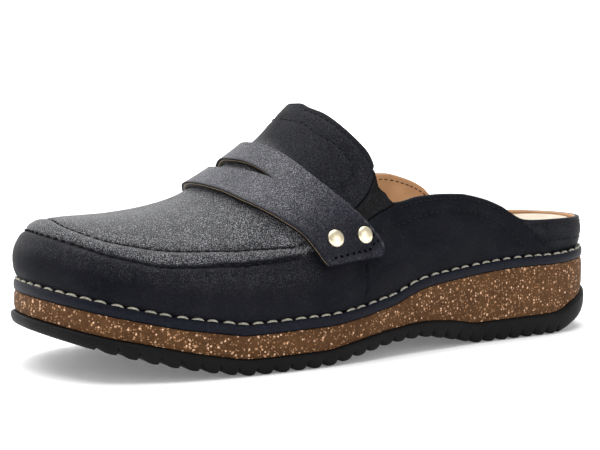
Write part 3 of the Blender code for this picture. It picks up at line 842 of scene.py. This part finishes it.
RAW_EDGE = grained(
    "raw_edge", (0.34, 0.24, 0.13), 0.8, 0.5, (0.0006, 3.0, 0.6), (0.35, 0.65),
    ((0.22, 0.15, 0.08), (0.46, 0.36, 0.22)), (0.0002, 0.6),
)
EDGE_PAINT = make_edge_paint()
LINING = clouded(
    "tan_lining", (0.52, 0.30, 0.14), 0.7, 0.0, (0.0006, 0.012),
    ((0.41, 0.215, 0.098), (0.55, 0.315, 0.155)), (0.55, 0.75, 0.0, 0.5), (0.30, 0.16, 0.07),
)
SUEDE = clouded(
    "footbed_suede", (0.72, 0.60, 0.47), 0.85, 0.3, (0.0005, 0.01),
    ((0.49, 0.41, 0.31), (0.59, 0.51, 0.40)), (0.45, 0.8, 0.0, 0.35), (0.50, 0.39, 0.28),
)
CORK_LOOK = make_cork()
RUBBER_LOOK = make_rubber()
WELT_LOOK = grained(
    "welt_leather", (0.006, 0.007, 0.013), 0.5, 0.10, (0.0007, 3.0, 0.6), (0.5, 0.75),
    ((0.004, 0.005, 0.010), (0.014, 0.016, 0.026)), (0.00012, 0.7),
)
ELASTIC = grained(
    "elastic", (0.005, 0.005, 0.006), 0.8, 0.15, (0.0006, 2.0, 0.5), (0.45, 0.7),
    ((0.003, 0.003, 0.0035), (0.016, 0.016, 0.018)), (0.0002, 0.8),
)
BRASS = make_brass()
HOLE_SHADE = make_hole_shade()
PALE_THREAD = make_thread("pale_thread", (0.44, 0.42, 0.35), (0.20, 0.185, 0.15), 0.75)
DARK_THREAD = make_thread("dark_thread", (0.0060, 0.0062, 0.0085), (0.0015, 0.0015, 0.002), 0.6)
BROWN_THREAD = make_thread("brown_thread", (0.16, 0.085, 0.045), (0.06, 0.03, 0.015), 0.7)

sole_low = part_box("outsole")[0]
SHIFT = np.array((0.0, sole_low.y - rim(even_angles(4000))[:, 1].min(), 0.0))


# Layers of the sole


def lug_turns():
    """Angles along the outsole with the share of LUG_DEPTH cut away at each."""
    rise = Table(
        ("share", "cut"),
        (
            (0.0, 1.0),
            (0.05, 0.80),
            (0.20, 0.34),
            (0.45, 0.03),
            (0.66, 0.0),
            (0.86, 0.12),
            (1.0, 1.0),
        ),
    )
    first = FIRST_LUG / LENGTH
    last = LAST_LUG / LENGTH
    count = round((LAST_LUG - FIRST_LUG) / LUG_PITCH)
    shares = np.array((0.0, 0.04, 0.1, 0.17, 0.25, 0.35, 0.47, 0.6, 0.72, 0.82, 0.89, 0.94, 0.975))
    lugs = (np.arange(count)[:, None] + shares).ravel()
    turns = turn_of(first + (last - first) * lugs / count)
    cuts = np.tile(rise.at("cut", shares), count)
    cuts[:len(shares)] *= FIRST_CUT
    front = np.linspace(0.0, turn_of(first), 40)[:-1]
    back = np.linspace(turn_of(last), math.pi, 50)
    turns = np.concatenate((front, turns, back))
    return turns, np.concatenate((0 * front, cuts, [1.0], 0 * back[1:]))


def build_outsole():
    turns, cuts = lug_turns()
    out, up = soft_rows(
        ((1.6, 0.0), (1.0, 0.015), (0.25, 0.26), (0.0, 0.60), (0.05, 0.84), (0.30, 0.95), (0.8, 1.0)),
        19,
    )

    def profile(angles):
        station = station_of(angles)[:, None]
        top = rubber_top(station)
        bottom = tread_height(station) + LUG_DEPTH * cuts[:, None]
        return RUBBER_LIP * out + 0 * top, bottom + (top - bottom) * up

    piece = slab(turns, profile).build("outsole_rubber", [RUBBER_LOOK], 32.0)
    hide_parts("outsole")


def build_midsole():
    out, up = soft_rows(((1.15, 0.0), (0.85, 0.30), (0.86, 0.75), (1.20, 1.0)), 14)

    def profile(angles):
        station = station_of(angles)[:, None]
        bottom = rubber_top(station) + GAP
        top = cork_top(station)
        return RUBBER_LIP * out + 0 * top, bottom + (top - bottom) * up

    piece = slab(even_angles(180), profile).build("cork_wedge", [CORK_LOOK])
    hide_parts("midsole")


def build_insole():
    inset = RUBBER_LIP + WELT_WIDTH + GAP + FOOTBED_ROOM

    def edge(station):
        return cork_top(station) + GAP + FOOTBED * BED.at("edge", station)

    def profile(angles):
        station = station_of(angles)[:, None]
        bottom = cork_top(station) + GAP
        arc = np.linspace(0.0, math.pi / 2, 7)
        ins = np.concatenate(([inset, inset], inset + FOOTBED_ROUND * (1 - np.cos(arc))))
        top = edge(station)
        down = FOOTBED_ROUND * (1 - np.sin(arc))
        heights = np.concatenate((bottom, (bottom + top) / 2, top - down), axis=1)
        return ins + 0 * heights, heights

    def hollow(turn, share):
        dip = HEEL_CUP * BED.at("hollow", station_of(turn)) * np.sin(turn)
        return dip * np.sin(math.pi * share) ** 0.75

    piece = slab(even_angles(120), profile, across=hollow).build("footbed", [SUEDE])
    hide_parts("insole")


def build_welt():
    rows = (
        (RUBBER_LIP + WELT_WIDTH, 0.0),
        (RUBBER_LIP * 1.20, 0.0),
        (RUBBER_LIP * 0.95, 0.08),
        (RUBBER_LIP * 0.80, 0.40),
        (RUBBER_LIP * 0.82, 0.72),
        (RUBBER_LIP * 1.00, 0.93),
        (RUBBER_LIP * 1.35, 1.0),
        (RUBBER_LIP + WELT_WIDTH, 1.0),
        (RUBBER_LIP + WELT_WIDTH, 0.0),
    )
    insets = np.array([row[0] for row in rows])
    ups = np.array([row[1] for row in rows])
    angles = np.linspace(0.0, math.tau, 421)[:-1]
    bottom = cork_top(station_of(angles))[:, None] + GAP
    plan = outline(angles[:, None] + insets * 0, insets + 0 * bottom)
    points = np.concatenate((plan, (bottom + WELT_HEIGHT * ups)[..., None]), -1)
    shell = Shell()
    shell.grid(points, loop=True)
    piece = shell.build("welt_ring", [WELT_LOOK], 50.0)
    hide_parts("welt")


# The upper


def run_along(points):
    """Length from the first point of a line to each of its points."""
    return np.concatenate(([0.0], np.cumsum(np.linalg.norm(np.diff(points, axis=0), axis=1))))


def points_at(line, run, at):
    return np.stack([np.interp(at, run, line[:, i]) for i in range(3)], 1)


def even_line(points):
    """The same line with its points evenly apart."""
    run = run_along(points)
    count = max(int(run[-1] / LINE_STEP), 2)
    return points_at(points, run, np.linspace(0.0, run[-1], count + 1))


def upper_turns():
    """Columns of the upper, spaced along its open edge."""
    fine = np.linspace(TONGUE_FRONT, 0.60, 5000)
    run = run_along(arch(turn_of(fine), top_lift(fine, LATERAL)))
    steps = np.interp(np.arange(0.0, run[-1], 0.0011), run, fine)
    marks = [TONGUE_END, 0.5170, GORE_END - 0.0003, GORE_END, QUARTER_BACK, QUARTER_BACK + 0.0004]
    rear = station_of(np.linspace(turn_of(0.602), math.pi, 118))
    front = station_of(np.linspace(0.0, turn_of(TONGUE_FRONT), 132))
    turns = np.unique(turn_of(np.concatenate((front, steps[1:], marks, rear))))
    keep = np.concatenate(([True], np.diff(turns) > 0.0003))
    turns = turns[keep]
    turns[-1] = math.pi
    return turns


def upper_offsets(station):
    """Depth of the seams and height of the strip between the two panel edges."""
    band = 1 - smooth(BAND_END, BAND_GONE, station)
    gore = smooth(BAND_GONE, GORE_START, station)
    behind = station >= GORE_END
    gore = np.where(behind, 0.0, gore)
    band = np.where(behind, 0.0, band)
    heel = np.where(station > QUARTER_BACK, HEEL_BAND_STEP, 0.0)
    low = GORE_RECESS * gore + heel
    return SEAM_DEPTH * band + low, BAND_RAISE * band - low


def stack_rows(turns, side):
    """Lift and offset of every row of the outer face, for all columns."""
    station = station_of(turns)
    angle = -side * turns
    low, high, top = panel_lifts(station, side)
    depth, middle = upper_offsets(station)
    width = SEAM_WIDTH / lift_length(angle, low, low + SKIN_TURN)
    wide = SEAM_WIDTH / lift_length(angle, high - SKIN_TURN, high)
    lifts = []
    offsets = []
    slim = low < SLIM_LIFT
    closed = (high - low < SLIM_LIFT) & ~slim
    edge = np.maximum(low - width, low * 0.9)
    for share in np.linspace(0.0, 1.0, SIDE_ROWS - len(SEAM_SIDE)) ** 1.15:
        lifts.append(edge * share)
        offsets.append(np.where(slim, -depth, 0.0))
    for share, sunk in SEAM_SIDE:
        lifts.append(edge + (low - edge) * share)
        offsets.append(np.where(closed, 0.0, np.where(slim, -depth, -depth * sunk)))
    for share in np.linspace(0.0, 1.0, BAND_ROWS)[1:]:
        arc = 1 - abs(2 * share - 1) ** 2.4
        rise = -depth + (middle + depth) * max(arc, 0.0) ** 0.8
        lifts.append(low + (high - low) * share)
        offsets.append(np.where(closed, 0.0, rise))
    last = offsets[-1]
    ended = top - high < SLIM_LIFT
    start = np.minimum(high + wide, high + (top - high) / 4)
    for share, sunk in SEAM_RISE:
        lifts.append(high + (start - high) * share)
        offsets.append(np.where(ended, last, -depth * sunk))
    for share in np.linspace(0.0, 1.0, TOP_ROWS)[1:]:
        lifts.append(start + (top - start) * share)
        offsets.append(np.where(ended, last, 0.0))
    return np.stack(lifts, 1), np.stack(offsets, 1)


def line_on_skin(side, places):
    """A row given by station and by height as a share of TONGUE_HEIGHT."""
    places = np.array(places, float)
    ends = np.linspace(0.0, 1.0, len(places))
    table = Table(("t", "station", "height"), np.column_stack((ends, places)))
    t = np.linspace(0.0, 1.0, 600)
    station = table.at("station", t)
    return lift_line(side, station, lift_at_height(station, table.at("height", t) * TONGUE_HEIGHT))


def lift_line(side, stations, lifts, offset=0.0):
    angles = -side * turn_of(stations)
    return even_line(skin(angles, lifts, np.full(len(stations), offset)))


def inside_edge(side, first, last, distance):
    """Row at a distance inside the open edge between two stations."""
    stations = np.linspace(first, last, 900)
    angles = -side * turn_of(stations)
    top = top_lift(stations, side)
    edge = arch(angles, top)
    out = outward(angles, top)
    along = unit(np.gradient(edge, axis=0))
    return even_line(edge + np.cross(out, along) * side * distance)


def round_toe(side_line):
    """A row that runs round the toe, from one side's half."""
    left = side_line(LATERAL)
    right = side_line(MEDIAL)
    return np.concatenate((right[::-1], left[1:]))


def apron_row(edge, last, shift):
    def half(side):
        stations = station_of(np.linspace(0.0, turn_of(last), 700))
        low, high, _ = panel_lifts(stations, side)
        lift = low if edge == "low" else high
        size = lift_length(-side * turn_of(stations), lift - SKIN_TURN, lift)
        return lift_line(side, stations, lift + shift / size)

    return round_toe(half)


def heel_row(side, below):
    """A row along the heel band, at a distance below its open edge."""
    stations = station_of(np.linspace(turn_of(0.812 + 2.4 * below), math.pi, 500))
    height = TONGUE_HEIGHT * TOPLINE.at("height", stations) - below
    return lift_line(side, stations, lift_at_height(stations, height), -HEEL_BAND_STEP)


def quarter_back_row(side):
    """A row just inside the quarter's rear edge, down to the welt."""
    foot = QUARTER_FOOT - 0.006
    back = np.linspace(QUARTER_BACK - 0.004, foot, 300)
    share = np.clip((foot - back) / (QUARTER_FOOT - QUARTER_BACK - 0.002), 0.02, 1.0)
    return lift_line(side, back, share ** QUARTER_SWEEP * top_lift(back, side) * 0.96)


def seam_rows():
    """All rows of thread in the leather, each with its thread's sizes."""
    rows = [
        (apron_row("low", 0.40, 0.0001), APRON_LOW_THREAD),
        (apron_row("high", 0.40, -0.0001), APRON_HIGH_THREAD),
    ]
    for side in SIDES:
        rows.append((inside_edge(side, 0.4520, 0.5130, 0.0014), EDGE_THREAD))
        rows.append((line_on_skin(side, TONGUE_ROW), PANEL_THREAD))
        rows.append((inside_edge(side, 0.5480, 0.790, 0.0014), QUARTER_EDGE_THREAD))
        rows.append((line_on_skin(side, QUARTER_ROW), PANEL_THREAD))
        rows.append((quarter_back_row(side), EDGE_THREAD))
        rows.append((heel_row(side, 0.0022), EDGE_THREAD))
        rows.append((heel_row(side, 0.0095), EDGE_THREAD))
    return rows


# Soft troughs and ridges of the leather, in the shoe's own sizes: side, two ends as station
# and height share, depth and half width in millimetres; a ridge has a negative depth
CREASES = (
    (LATERAL, (0.700, 0.370), (0.775, 0.420), 0.35, 4.0),
    (LATERAL, (0.715, 0.330), (0.790, 0.370), -0.25, 3.5),
    (LATERAL, (0.560, 0.300), (0.640, 0.420), 0.25, 6.0),
    (LATERAL, (0.300, 0.260), (0.380, 0.330), 0.30, 6.0),
    (LATERAL, (0.250, 0.610), (0.320, 0.470), 0.30, 5.0),
    (LATERAL, (0.430, 0.860), (0.490, 0.740), 0.25, 5.0),
    (MEDIAL, (0.700, 0.370), (0.775, 0.420), 0.35, 4.0),
    (MEDIAL, (0.300, 0.260), (0.380, 0.330), 0.30, 6.0),
    (MEDIAL, (0.250, 0.610), (0.320, 0.470), 0.30, 5.0),
    (MEDIAL, (0.560, 0.300), (0.640, 0.420), 0.25, 6.0),
)


def distance_to(points, line):
    """Distance of each point from the nearest point of a line."""
    best = np.full(len(points), 1.0)
    low = line.min(0) - 0.015
    high = line.max(0) + 0.015
    near = np.nonzero(np.all((points > low) & (points < high), axis=1))[0]
    for part in np.array_split(near, max(len(near) // 4000, 1)):
        gap = points[part, None] - line[None, ::2]
        best[part] = np.sqrt((gap ** 2).sum(-1).min(1))
    return best


def side_seam(side):
    """Where vamp and quarter meet, from under the tab to the welt."""
    stations = np.linspace(0.471, 0.468, 200)
    start = lift_at_height(0.471, 0.372 * TONGUE_HEIGHT)
    return lift_line(side, stations, np.linspace(start, 0.05, 200))


def open_edge(start, end, drop, side):
    """The rounded edge over the wall, from its outer row to its inner one."""
    middle = (start + end) / 2
    along = np.gradient(middle, axis=0)
    along[0] = (0.0, float(side), 0.0)
    up = unit(np.cross(drop, along)) * -side
    across = (start - end) / 2
    height = np.minimum(CROWN, np.linalg.norm(across, axis=1))[:, None]
    ring = []
    for turn in np.linspace(0.0, math.pi, 9):
        lean = math.copysign(abs(math.cos(turn)) ** 0.8, math.cos(turn))
        ring.append(middle + across * lean + up * height * math.sin(turn) ** 0.8)
    ring[0] = start
    ring[-1] = end
    return np.stack(ring, 1)


def build_upper(rows):
    turns = upper_turns()
    shell = Shell()
    inner_shares = np.concatenate((np.linspace(0.0, 0.9, 22), (0.95, 1.0)))
    folds = []
    for side, start, end, depth, width in CREASES:
        folds.append((line_on_skin(side, (start, end)), depth * MM, width * MM))
    joins = [side_seam(LATERAL), side_seam(MEDIAL)]
    folds += [(join, JOIN_DEPTH, JOIN_WIDTH) for join in joins]
    open_columns = station_of(turns) >= TONGUE_FRONT - 1e-9
    first = np.nonzero(open_columns)[0][0]
    for side in SIDES:
        angle = -side * turns
        lifts, offsets = stack_rows(turns, side)
        outer = skin(angle[:, None] + 0 * lifts, lifts, offsets)
        ways = outward(angle[:, None] + 0 * lifts, lifts)
        flat = outer.reshape(-1, 3)
        push = np.zeros(len(flat))
        for line, _ in rows:
            far = distance_to(flat, line)
            push -= PUCKER_DEPTH * np.exp(-(far / PUCKER_WIDTH) ** 2)
            push += SWELL_HEIGHT * np.exp(-((far - SWELL_PLACE) / SWELL_WIDTH) ** 2)
        for line, depth, width in folds:
            push -= depth * np.exp(-(distance_to(flat, line) / width) ** 2)
        calm = np.minimum(np.linspace(0.0, 1.0, lifts.shape[1]) * 12, 1.0)
        push = push.reshape(lifts.shape) * calm
        push[open_columns, -1] = 0.0
        outer += ways * push[..., None]
        top = lifts[:, -1]
        drop = outward(angle, top)
        inner_lifts = top[:, None] * inner_shares[::-1]
        inside = arch(angle[:, None] + 0 * inner_lifts, inner_lifts)
        deep = outward(angle[:, None] + 0 * inner_lifts, inner_lifts)
        foot = (inner_lifts == 0.0)[..., None]
        deep = np.where(foot, unit(deep * (1, 1, 0) + 1e-12), deep)
        inner = inside - deep * WALL
        # The flank rows below the apron may take only a small share of the painted top light
        panel = np.where(np.arange(lifts.shape[1]) < SIDE_ROWS, SIDE_PAINTED_LIGHT, 1.0)
        shell.grid(outer, 0, flip=side == MEDIAL, value=panel)
        shell.grid(inner, 1, flip=side == MEDIAL)
        bottom = np.stack((inner[:, -1], outer[:, 0]), 1)
        shell.grid(bottom, 1, flip=side == MEDIAL)
        ring = open_edge(outer[first:, -1], inner[first:, 0], drop[first:], side)
        shell.grid(ring, np.array([0, 0, 0, 0, 0, 1, 1, 1]), flip=side == MEDIAL)
    piece = shell.build("upper_leather", [LEATHER, LINING], 50.0)
    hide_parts("upper")
    paint_seams(piece, [row[0] for row in rows] + joins)
    return piece


def paint_seams(piece, lines):
    """Store each point's distance from the nearest row of thread, for the painted shade in the seams,
    and its share of painted top light.
    """
    mesh = piece.data
    points = np.empty(len(mesh.vertices) * 3)
    mesh.vertices.foreach_get("co", points)
    points = points.reshape(-1, 3) - SHIFT
    far = np.full(len(points), 1.0)
    for line in lines:
        far = np.minimum(far, distance_to(points, line))
    mesh.attributes.new("seam", "FLOAT", "POINT").data.foreach_set("value", far)
    # Painted top light: the share grows as the leather faces upwards, sooner where the stored share
    # is full, and is cut on the tongue
    upward = np.array([vertex.normal.z for vertex in mesh.vertices])
    panel = np.empty(len(points))
    mesh.attributes["panel"].data.foreach_get("value", panel)
    bright = np.where(panel > 0.99, BAND_LEAN, 0.0)
    painted_top_light = smooth(0.05 - bright, 0.60 - bright, upward) * panel
    if lines:
        painted_top_light = painted_top_light * (1 - (1 - TONGUE_PAINTED_LIGHT) * smooth(0.365, 0.400, points[:, 0] / LENGTH + 0.5))
    mesh.attributes.new("painted_top_light", "FLOAT", "POINT").data.foreach_set("value", painted_top_light)


# Gores


def build_gore(side, node):
    stations = np.linspace(GORE_START + 0.003, GORE_END - 0.0012, 130)
    angles = -side * turn_of(stations)
    low, high, _ = panel_lifts(stations, side)
    margin = GORE_MARGIN / lift_length(angles, low, low + SKIN_TURN)
    shares = np.linspace(0.0, 1.0, 60)
    lifts = (low + margin)[:, None] + (high - low - 2 * margin)[:, None] * shares
    plain = skin(angles[:, None] + 0 * lifts, lifts, np.full(lifts.shape, GAP - GORE_RECESS))
    ways = outward(angles[:, None] + 0 * lifts, lifts)
    lean = plain[..., 2] * 0.82 + plain[..., 0] * 0.57
    ribs = RIB_HEIGHT * np.sin(lean * math.tau / RIB_PITCH)
    face = plain + ways * (GORE_THICKNESS + ribs)[..., None]
    shell = Shell()
    shell.grid(plain, flip=side == LATERAL)
    shell.grid(face, flip=side == MEDIAL)
    for cut in (np.s_[:, 0], np.s_[:, -1], np.s_[0, :], np.s_[-1, :]):
        shell.grid(np.stack((plain[cut], face[cut]), 1))
    piece = shell.build(f"{node}_elastic", [ELASTIC], 35.0)
    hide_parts(node)


# Strap and rivets


def strap_place(down, across, height):
    """Point on the strap; down is negative on the medial side."""
    side_angle = np.where(down >= 0, 1.0, -1.0)
    down = np.abs(down)
    corner = np.clip((down - CORNER_START) / (1 - CORNER_START), 0.0, 1.0)
    curve = 1 - np.sqrt(np.maximum(1 - corner ** 2, 0.0))
    front_in = FRONT_CORNER * curve
    rear_in = REAR_CORNER * curve
    across = front_in + across * (1 - front_in - rear_in)
    front = STRAP_EDGES.at("front", down)
    rear = STRAP_EDGES.at("rear", down)
    front_lift = lift_at_height(front, TONGUE_HEIGHT * STRAP_EDGES.at("front_height", down))
    rear_lift = lift_at_height(rear, TONGUE_HEIGHT * STRAP_EDGES.at("rear_height", down))
    front_lift = np.where(down < 1e-9, math.pi / 2, front_lift)
    rear_lift = np.where(down < 1e-9, math.pi / 2, rear_lift)
    station = front + (rear - front) * across
    lift = front_lift + (rear_lift - front_lift) * across
    return skin(side_angle * turn_of(station), lift, STRAP_LIFT + height)


def slot_span(down):
    share = np.minimum(np.abs(down) / SLOT_HALF, 1.0)
    slit = SLOT_WIDTH * (1 - share ** 2)
    middle = SLOT_MIDDLE + SLOT_DRIFT * share
    return middle - slit, middle + slit


def build_strap():
    half = np.concatenate((np.linspace(0.0, SLOT_HALF, 31), np.linspace(SLOT_HALF, 1.0, 48)[1:]))
    half = np.concatenate((half[:-1], 1 - 0.004 * np.array((2.0, 1.0, 0.4)), half[-1:]))
    half = np.unique(np.round(half, 6))
    downs = np.concatenate((-half[:0:-1], half))
    start, end = slot_span(downs)
    left = np.linspace(0.0, 1.0, STRAP_COLUMNS)
    acrosses = np.concatenate(
        (start[:, None] * left, end[:, None] + (1 - end)[:, None] * left), axis=1
    )
    rows, cols = acrosses.shape
    grid = np.arange(rows * cols).reshape(rows, cols)
    shut = end - start < 1e-9
    inner = STRAP_COLUMNS - 1
    grid[:, inner + 1] = np.where(shut, grid[:, inner], grid[:, inner + 1])
    quads = []
    for j in range(cols - 1):
        if j != inner:
            ring = (grid[:-1, j], grid[:-1, j + 1], grid[1:, j + 1], grid[1:, j])
            quads.append(np.stack(ring, -1))
    quads = np.concatenate(quads)
    down_all = np.repeat(downs, cols)
    across_all = acrosses.ravel()
    bottom = strap_place(down_all, across_all, np.zeros(rows * cols))
    top = strap_place(down_all, across_all, np.full(rows * cols, STRAP))
    ways = unit(top - bottom)
    follow = {}
    for quad in quads.tolist():
        for i in range(4):
            follow[(quad[i], quad[(i + 1) % 4])] = True
    ahead = {a: b for a, b in follow if (b, a) not in follow}
    shell = Shell()
    levels = ((1.0, -1.0), (0.975, -0.55), (0.90, -0.2), (0.80, -0.02), (0.73, 0.0), (0.55, 0.0))
    levels += ((0.42, 0.0), (0.12, 0.0), (0.03, -0.2), (0.0, -0.5))
    marks = np.array([0, 0, 0, 2, 2, 1, 2, 2, 2])
    seen = set()
    for first in list(ahead):
        if first in seen:
            continue
        loop = [first]
        while ahead[loop[-1]] != first:
            loop.append(ahead[loop[-1]])
        seen.update(loop)
        ids = np.array(loop)
        place = bottom[ids]
        along = np.roll(place, -1, 0) - np.roll(place, 1, 0)
        out = unit(np.cross(along, ways[ids]))
        ring = []
        for level, inset in levels:
            spot = bottom[ids] + (top[ids] - bottom[ids]) * level
            ring.append(spot + out * inset * STRAP_ROUND)
        ring = np.stack(ring, 1)
        top[ids] = ring[:, 0]
        bottom[ids] = ring[:, -1]
        shell.grid(ring, marks, loop=True)
    # The tabs take less painted top light towards their feet
    tab_shade = 1.0 - TAB_SHADE * smooth(0.58, 0.86, np.abs(down_all))
    shell.add(top, quads, 0, tab_shade)
    shell.add(bottom, quads[:, ::-1], 3)
    piece = shell.build("saddle_strap_leather", [STRAP_LEATHER, RAW_EDGE, EDGE_PAINT, LINING], 55.0)
    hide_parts("saddle_strap")
    paint_seams(piece, [])
    return piece


def tab_rows():
    """Rows of holes near the foot and the rear edge of each tab."""
    rows = []
    top = np.full(200, STRAP)
    for sign in (1, -1):
        across = np.linspace(0.12, 0.90, 200)
        down = 0.976 - 0.03 * smooth(0.72, 0.95, across)
        rows.append((even_line(strap_place(sign * down, across, top)), FOOT_HOLES))
        down = np.linspace(0.915, 0.966, 200)
        across = np.full(200, 0.945)
        rows.append((even_line(strap_place(sign * down, across, top)), REAR_HOLES))
    return rows


def build_rivet(node, down, across):
    seat = strap_place(np.array(down), np.array(across), np.array(STRAP + GAP))
    under = strap_place(np.array(down), np.array(across), np.array(0.0))
    out = Vector(seat - under).normalized()
    frame_x = out.orthogonal().normalized()
    frame_y = out.cross(frame_x)
    radius = RIVET_DIAMETER / 2
    arc = np.linspace(0.0, math.pi / 2, 12)
    rims = np.concatenate(([0.0, radius * 0.96, radius], radius * np.cos(arc)))
    heights = np.concatenate(
        ([-GAP, -GAP, 0.0], RIVET_RIM + (RIVET_DOME - RIVET_RIM) * np.sin(arc))
    )
    turns = np.linspace(0.0, math.tau, 65)[:-1]
    spin = np.cos(turns)[:, None] * np.array(frame_x) + np.sin(turns)[:, None] * np.array(frame_y)
    points = seat + spin[:, None] * rims[:, None] + np.array(out) * heights[:, None]
    shell = Shell()
    shell.grid(points, loop=True)
    piece = shell.build(f"{node}_head", [BRASS], 30.0)
    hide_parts(node)


# Thread


def shaped_stitches(tree, line, pitch, length, radius, wander, rng, squash=0.75, sink=0.6):
    """Rings of points of short bent threads laid along a line on a surface."""
    run = run_along(line)
    count = max(int(run[-1] / pitch), 1)
    pitch = run[-1] / count
    shapes = []
    for i in range(count):
        start = pitch * i + (pitch - length) / 2 + rng.uniform(-wander, wander) * pitch
        size = length * rng.uniform(1 - wander, 1 + wander)
        t = np.linspace(0.0, 1.0, STITCH_RINGS)
        at = np.clip(start + size * t, 0.0, run[-1])
        spots = points_at(line, run, at)
        ways = []
        for k, spot in enumerate(spots):
            hit, way = tree.find_nearest(Vector(spot + SHIFT))[:2]
            spots[k] = np.array(hit) - SHIFT
            ways.append(np.array(way))
        ways = unit(np.array(ways))
        along = unit(np.gradient(spots, axis=0) + 1e-9)
        beside = unit(np.cross(along, ways))
        skew = rng.uniform(-1, 1) * wander * radius * 2
        rise = radius * (np.sin(math.pi * t) ** 0.6 * (squash + sink) - sink)
        spots = spots + ways * rise[:, None] + beside * (skew * (t - 0.5))[:, None]
        thick = radius * (0.62 + 0.38 * np.sin(math.pi * t) ** 0.5)
        turn = np.linspace(0.0, math.tau, STITCH_SIDES + 1)[:-1]
        ring = (
            spots[:, None]
            + beside[:, None] * (np.cos(turn)[:, None] * thick[:, None, None])
            + ways[:, None] * (np.sin(turn)[:, None] * thick[:, None, None] * squash)
        )
        shapes.append(ring)
    return shapes


def build_stitches(name, surface, rows, material, wander=0.06, squash=0.75, sink=0.6):
    """Join all threads of one kind into one piece."""
    mesh = surface.data
    tree = BVHTree.FromPolygons([v.co for v in mesh.vertices], [p.vertices for p in mesh.polygons])
    rng = np.random.default_rng(len(name) * 7 + len(rows))
    shell = Shell()
    for line, (pitch, length, radius) in rows:
        for ring in shaped_stitches(tree, line, pitch, length, radius, wander, rng, squash, sink):
            shell.grid(np.concatenate((ring, ring[:, :1]), axis=1))
            shell.add(ring[0], STITCH_CAP)
            shell.add(ring[-1], STITCH_CAP[:, ::-1])
    piece = shell.build(name, [material], 70.0)
    return piece


def welt_rows():
    """The heavy row in the crease between the upper and the welt, all round the shoe."""
    angles = np.linspace(0.0, math.tau, 3001)
    plan = outline(angles, np.full(len(angles), RUBBER_LIP + 0.00085))
    line = np.column_stack((plan, welt_top(station_of(angles)) + 0.00045))
    return [(even_line(line), WELT_THREAD)]


def lining_rows():
    """Thread seen from inside, just under the open edge of the quarters."""
    rows = []
    for side in SIDES:
        turns = np.linspace(turn_of(0.5480), turn_of(0.990), 1600)
        stations = station_of(turns)
        lift = lift_at_height(stations, edge_height(stations, side) - 0.0018)
        inner = arch(-side * turns, lift) - outward(-side * turns, lift) * WALL
        rows.append((even_line(inner), PANEL_THREAD))
    return rows


# Putting the shoe together

build_outsole()
build_midsole()
build_welt()
build_insole()
thread_rows = seam_rows()
upper = build_upper(thread_rows)
build_gore(LATERAL, "gore_lateral")
build_gore(MEDIAL, "gore_medial")
strap = build_strap()
for sign, side_name in ((1, "lateral"), (-1, "medial")):
    for place, down, across in RIVET_PLACES:
        build_rivet(f"rivet_{side_name}_{place}", sign * down, across)
welt = bpy.data.objects["welt_ring"]
build_stitches("leather_thread", upper, thread_rows, DARK_THREAD)
build_stitches("lining_thread", upper, lining_rows(), BROWN_THREAD)
# Painted shade in the tab's stitch holes: small near-black domes
build_stitches("tab_holes", strap, tab_rows(), HOLE_SHADE, 0.05, 0.30, 0.0)
build_stitches("welt_thread", welt, welt_rows(), PALE_THREAD, 0.08, 0.7, 0.15)


# Floor, light and camera


def paper_sheet(name, corners, glow):
    """A white sheet that gives off some light of its own."""
    mesh = bpy.data.meshes.new(name)
    mesh.from_pydata(corners, [], [(0, 1, 2, 3)])
    sheet = add_object(name, mesh)
    look = Look(f"{name}_paper", (0.93, 0.93, 0.93), 0.9)
    look.set("Emission Color", WHITE)
    look.set("Emission Strength", glow)
    mesh.materials.append(look.material)


def area_light(name, place, target, size, power):
    data = bpy.data.lights.new(name, "AREA")
    data.shape = "RECTANGLE"
    data.size, data.size_y = size
    data.energy = power
    light = add_object(name, data)
    light.location = place
    light.rotation_euler = (Vector(target) - Vector(place)).to_track_quat("-Z", "Y").to_euler()


def sky_light(name, place, strength, spread):
    """An even, very soft light from far above."""
    data = bpy.data.lights.new(name, "SUN")
    data.energy = strength
    data.angle = math.radians(spread)
    light = add_object(name, data)
    light.rotation_euler = Vector(place).to_track_quat("Z", "Y").to_euler()


def make_camera():
    """The photo's view: from the front left, a little above the shoe."""
    data = bpy.data.cameras.new("photo_view")
    data.lens = 72.73
    data.sensor_width = 36.0
    data.shift_x = -0.0437
    data.clip_start = 0.01
    data.clip_end = 50.0
    camera = add_object("photo_view", data)
    camera.location = (-0.2538, -0.4396 + SHIFT[1], 0.0914)
    camera.rotation_euler = (math.pi / 2 - math.radians(4.738), 0.0, math.radians(-30.0))
    bpy.context.scene.camera = camera


def make_world():
    world = bpy.data.worlds.new("studio")
    world.use_nodes = True
    back = world.node_tree.nodes["Background"]
    back.inputs["Color"].default_value = WHITE
    back.inputs["Strength"].default_value = 0.50
    bpy.context.scene.world = world


paper_sheet("floor", [(-40, -40, 0), (40, -40, 0), (40, 40, 0), (-40, 40, 0)], 0.16)
paper_sheet("backdrop", [(-4, 0.9, 0), (5, 0.9, 0), (5, 0.9, 2.2), (-4, 0.9, 2.2)], 0.75)
make_world()
sky_light("top_light", (-0.10, 0.24, 0.95), 4.2, 62.0)
area_light("front_light", (0.45, -1.15, 0.40), (0.0, 0.0, 0.03), (0.7, 0.7), 3.0)
bpy.context.scene.view_settings.view_transform = "Standard"
make_camera()
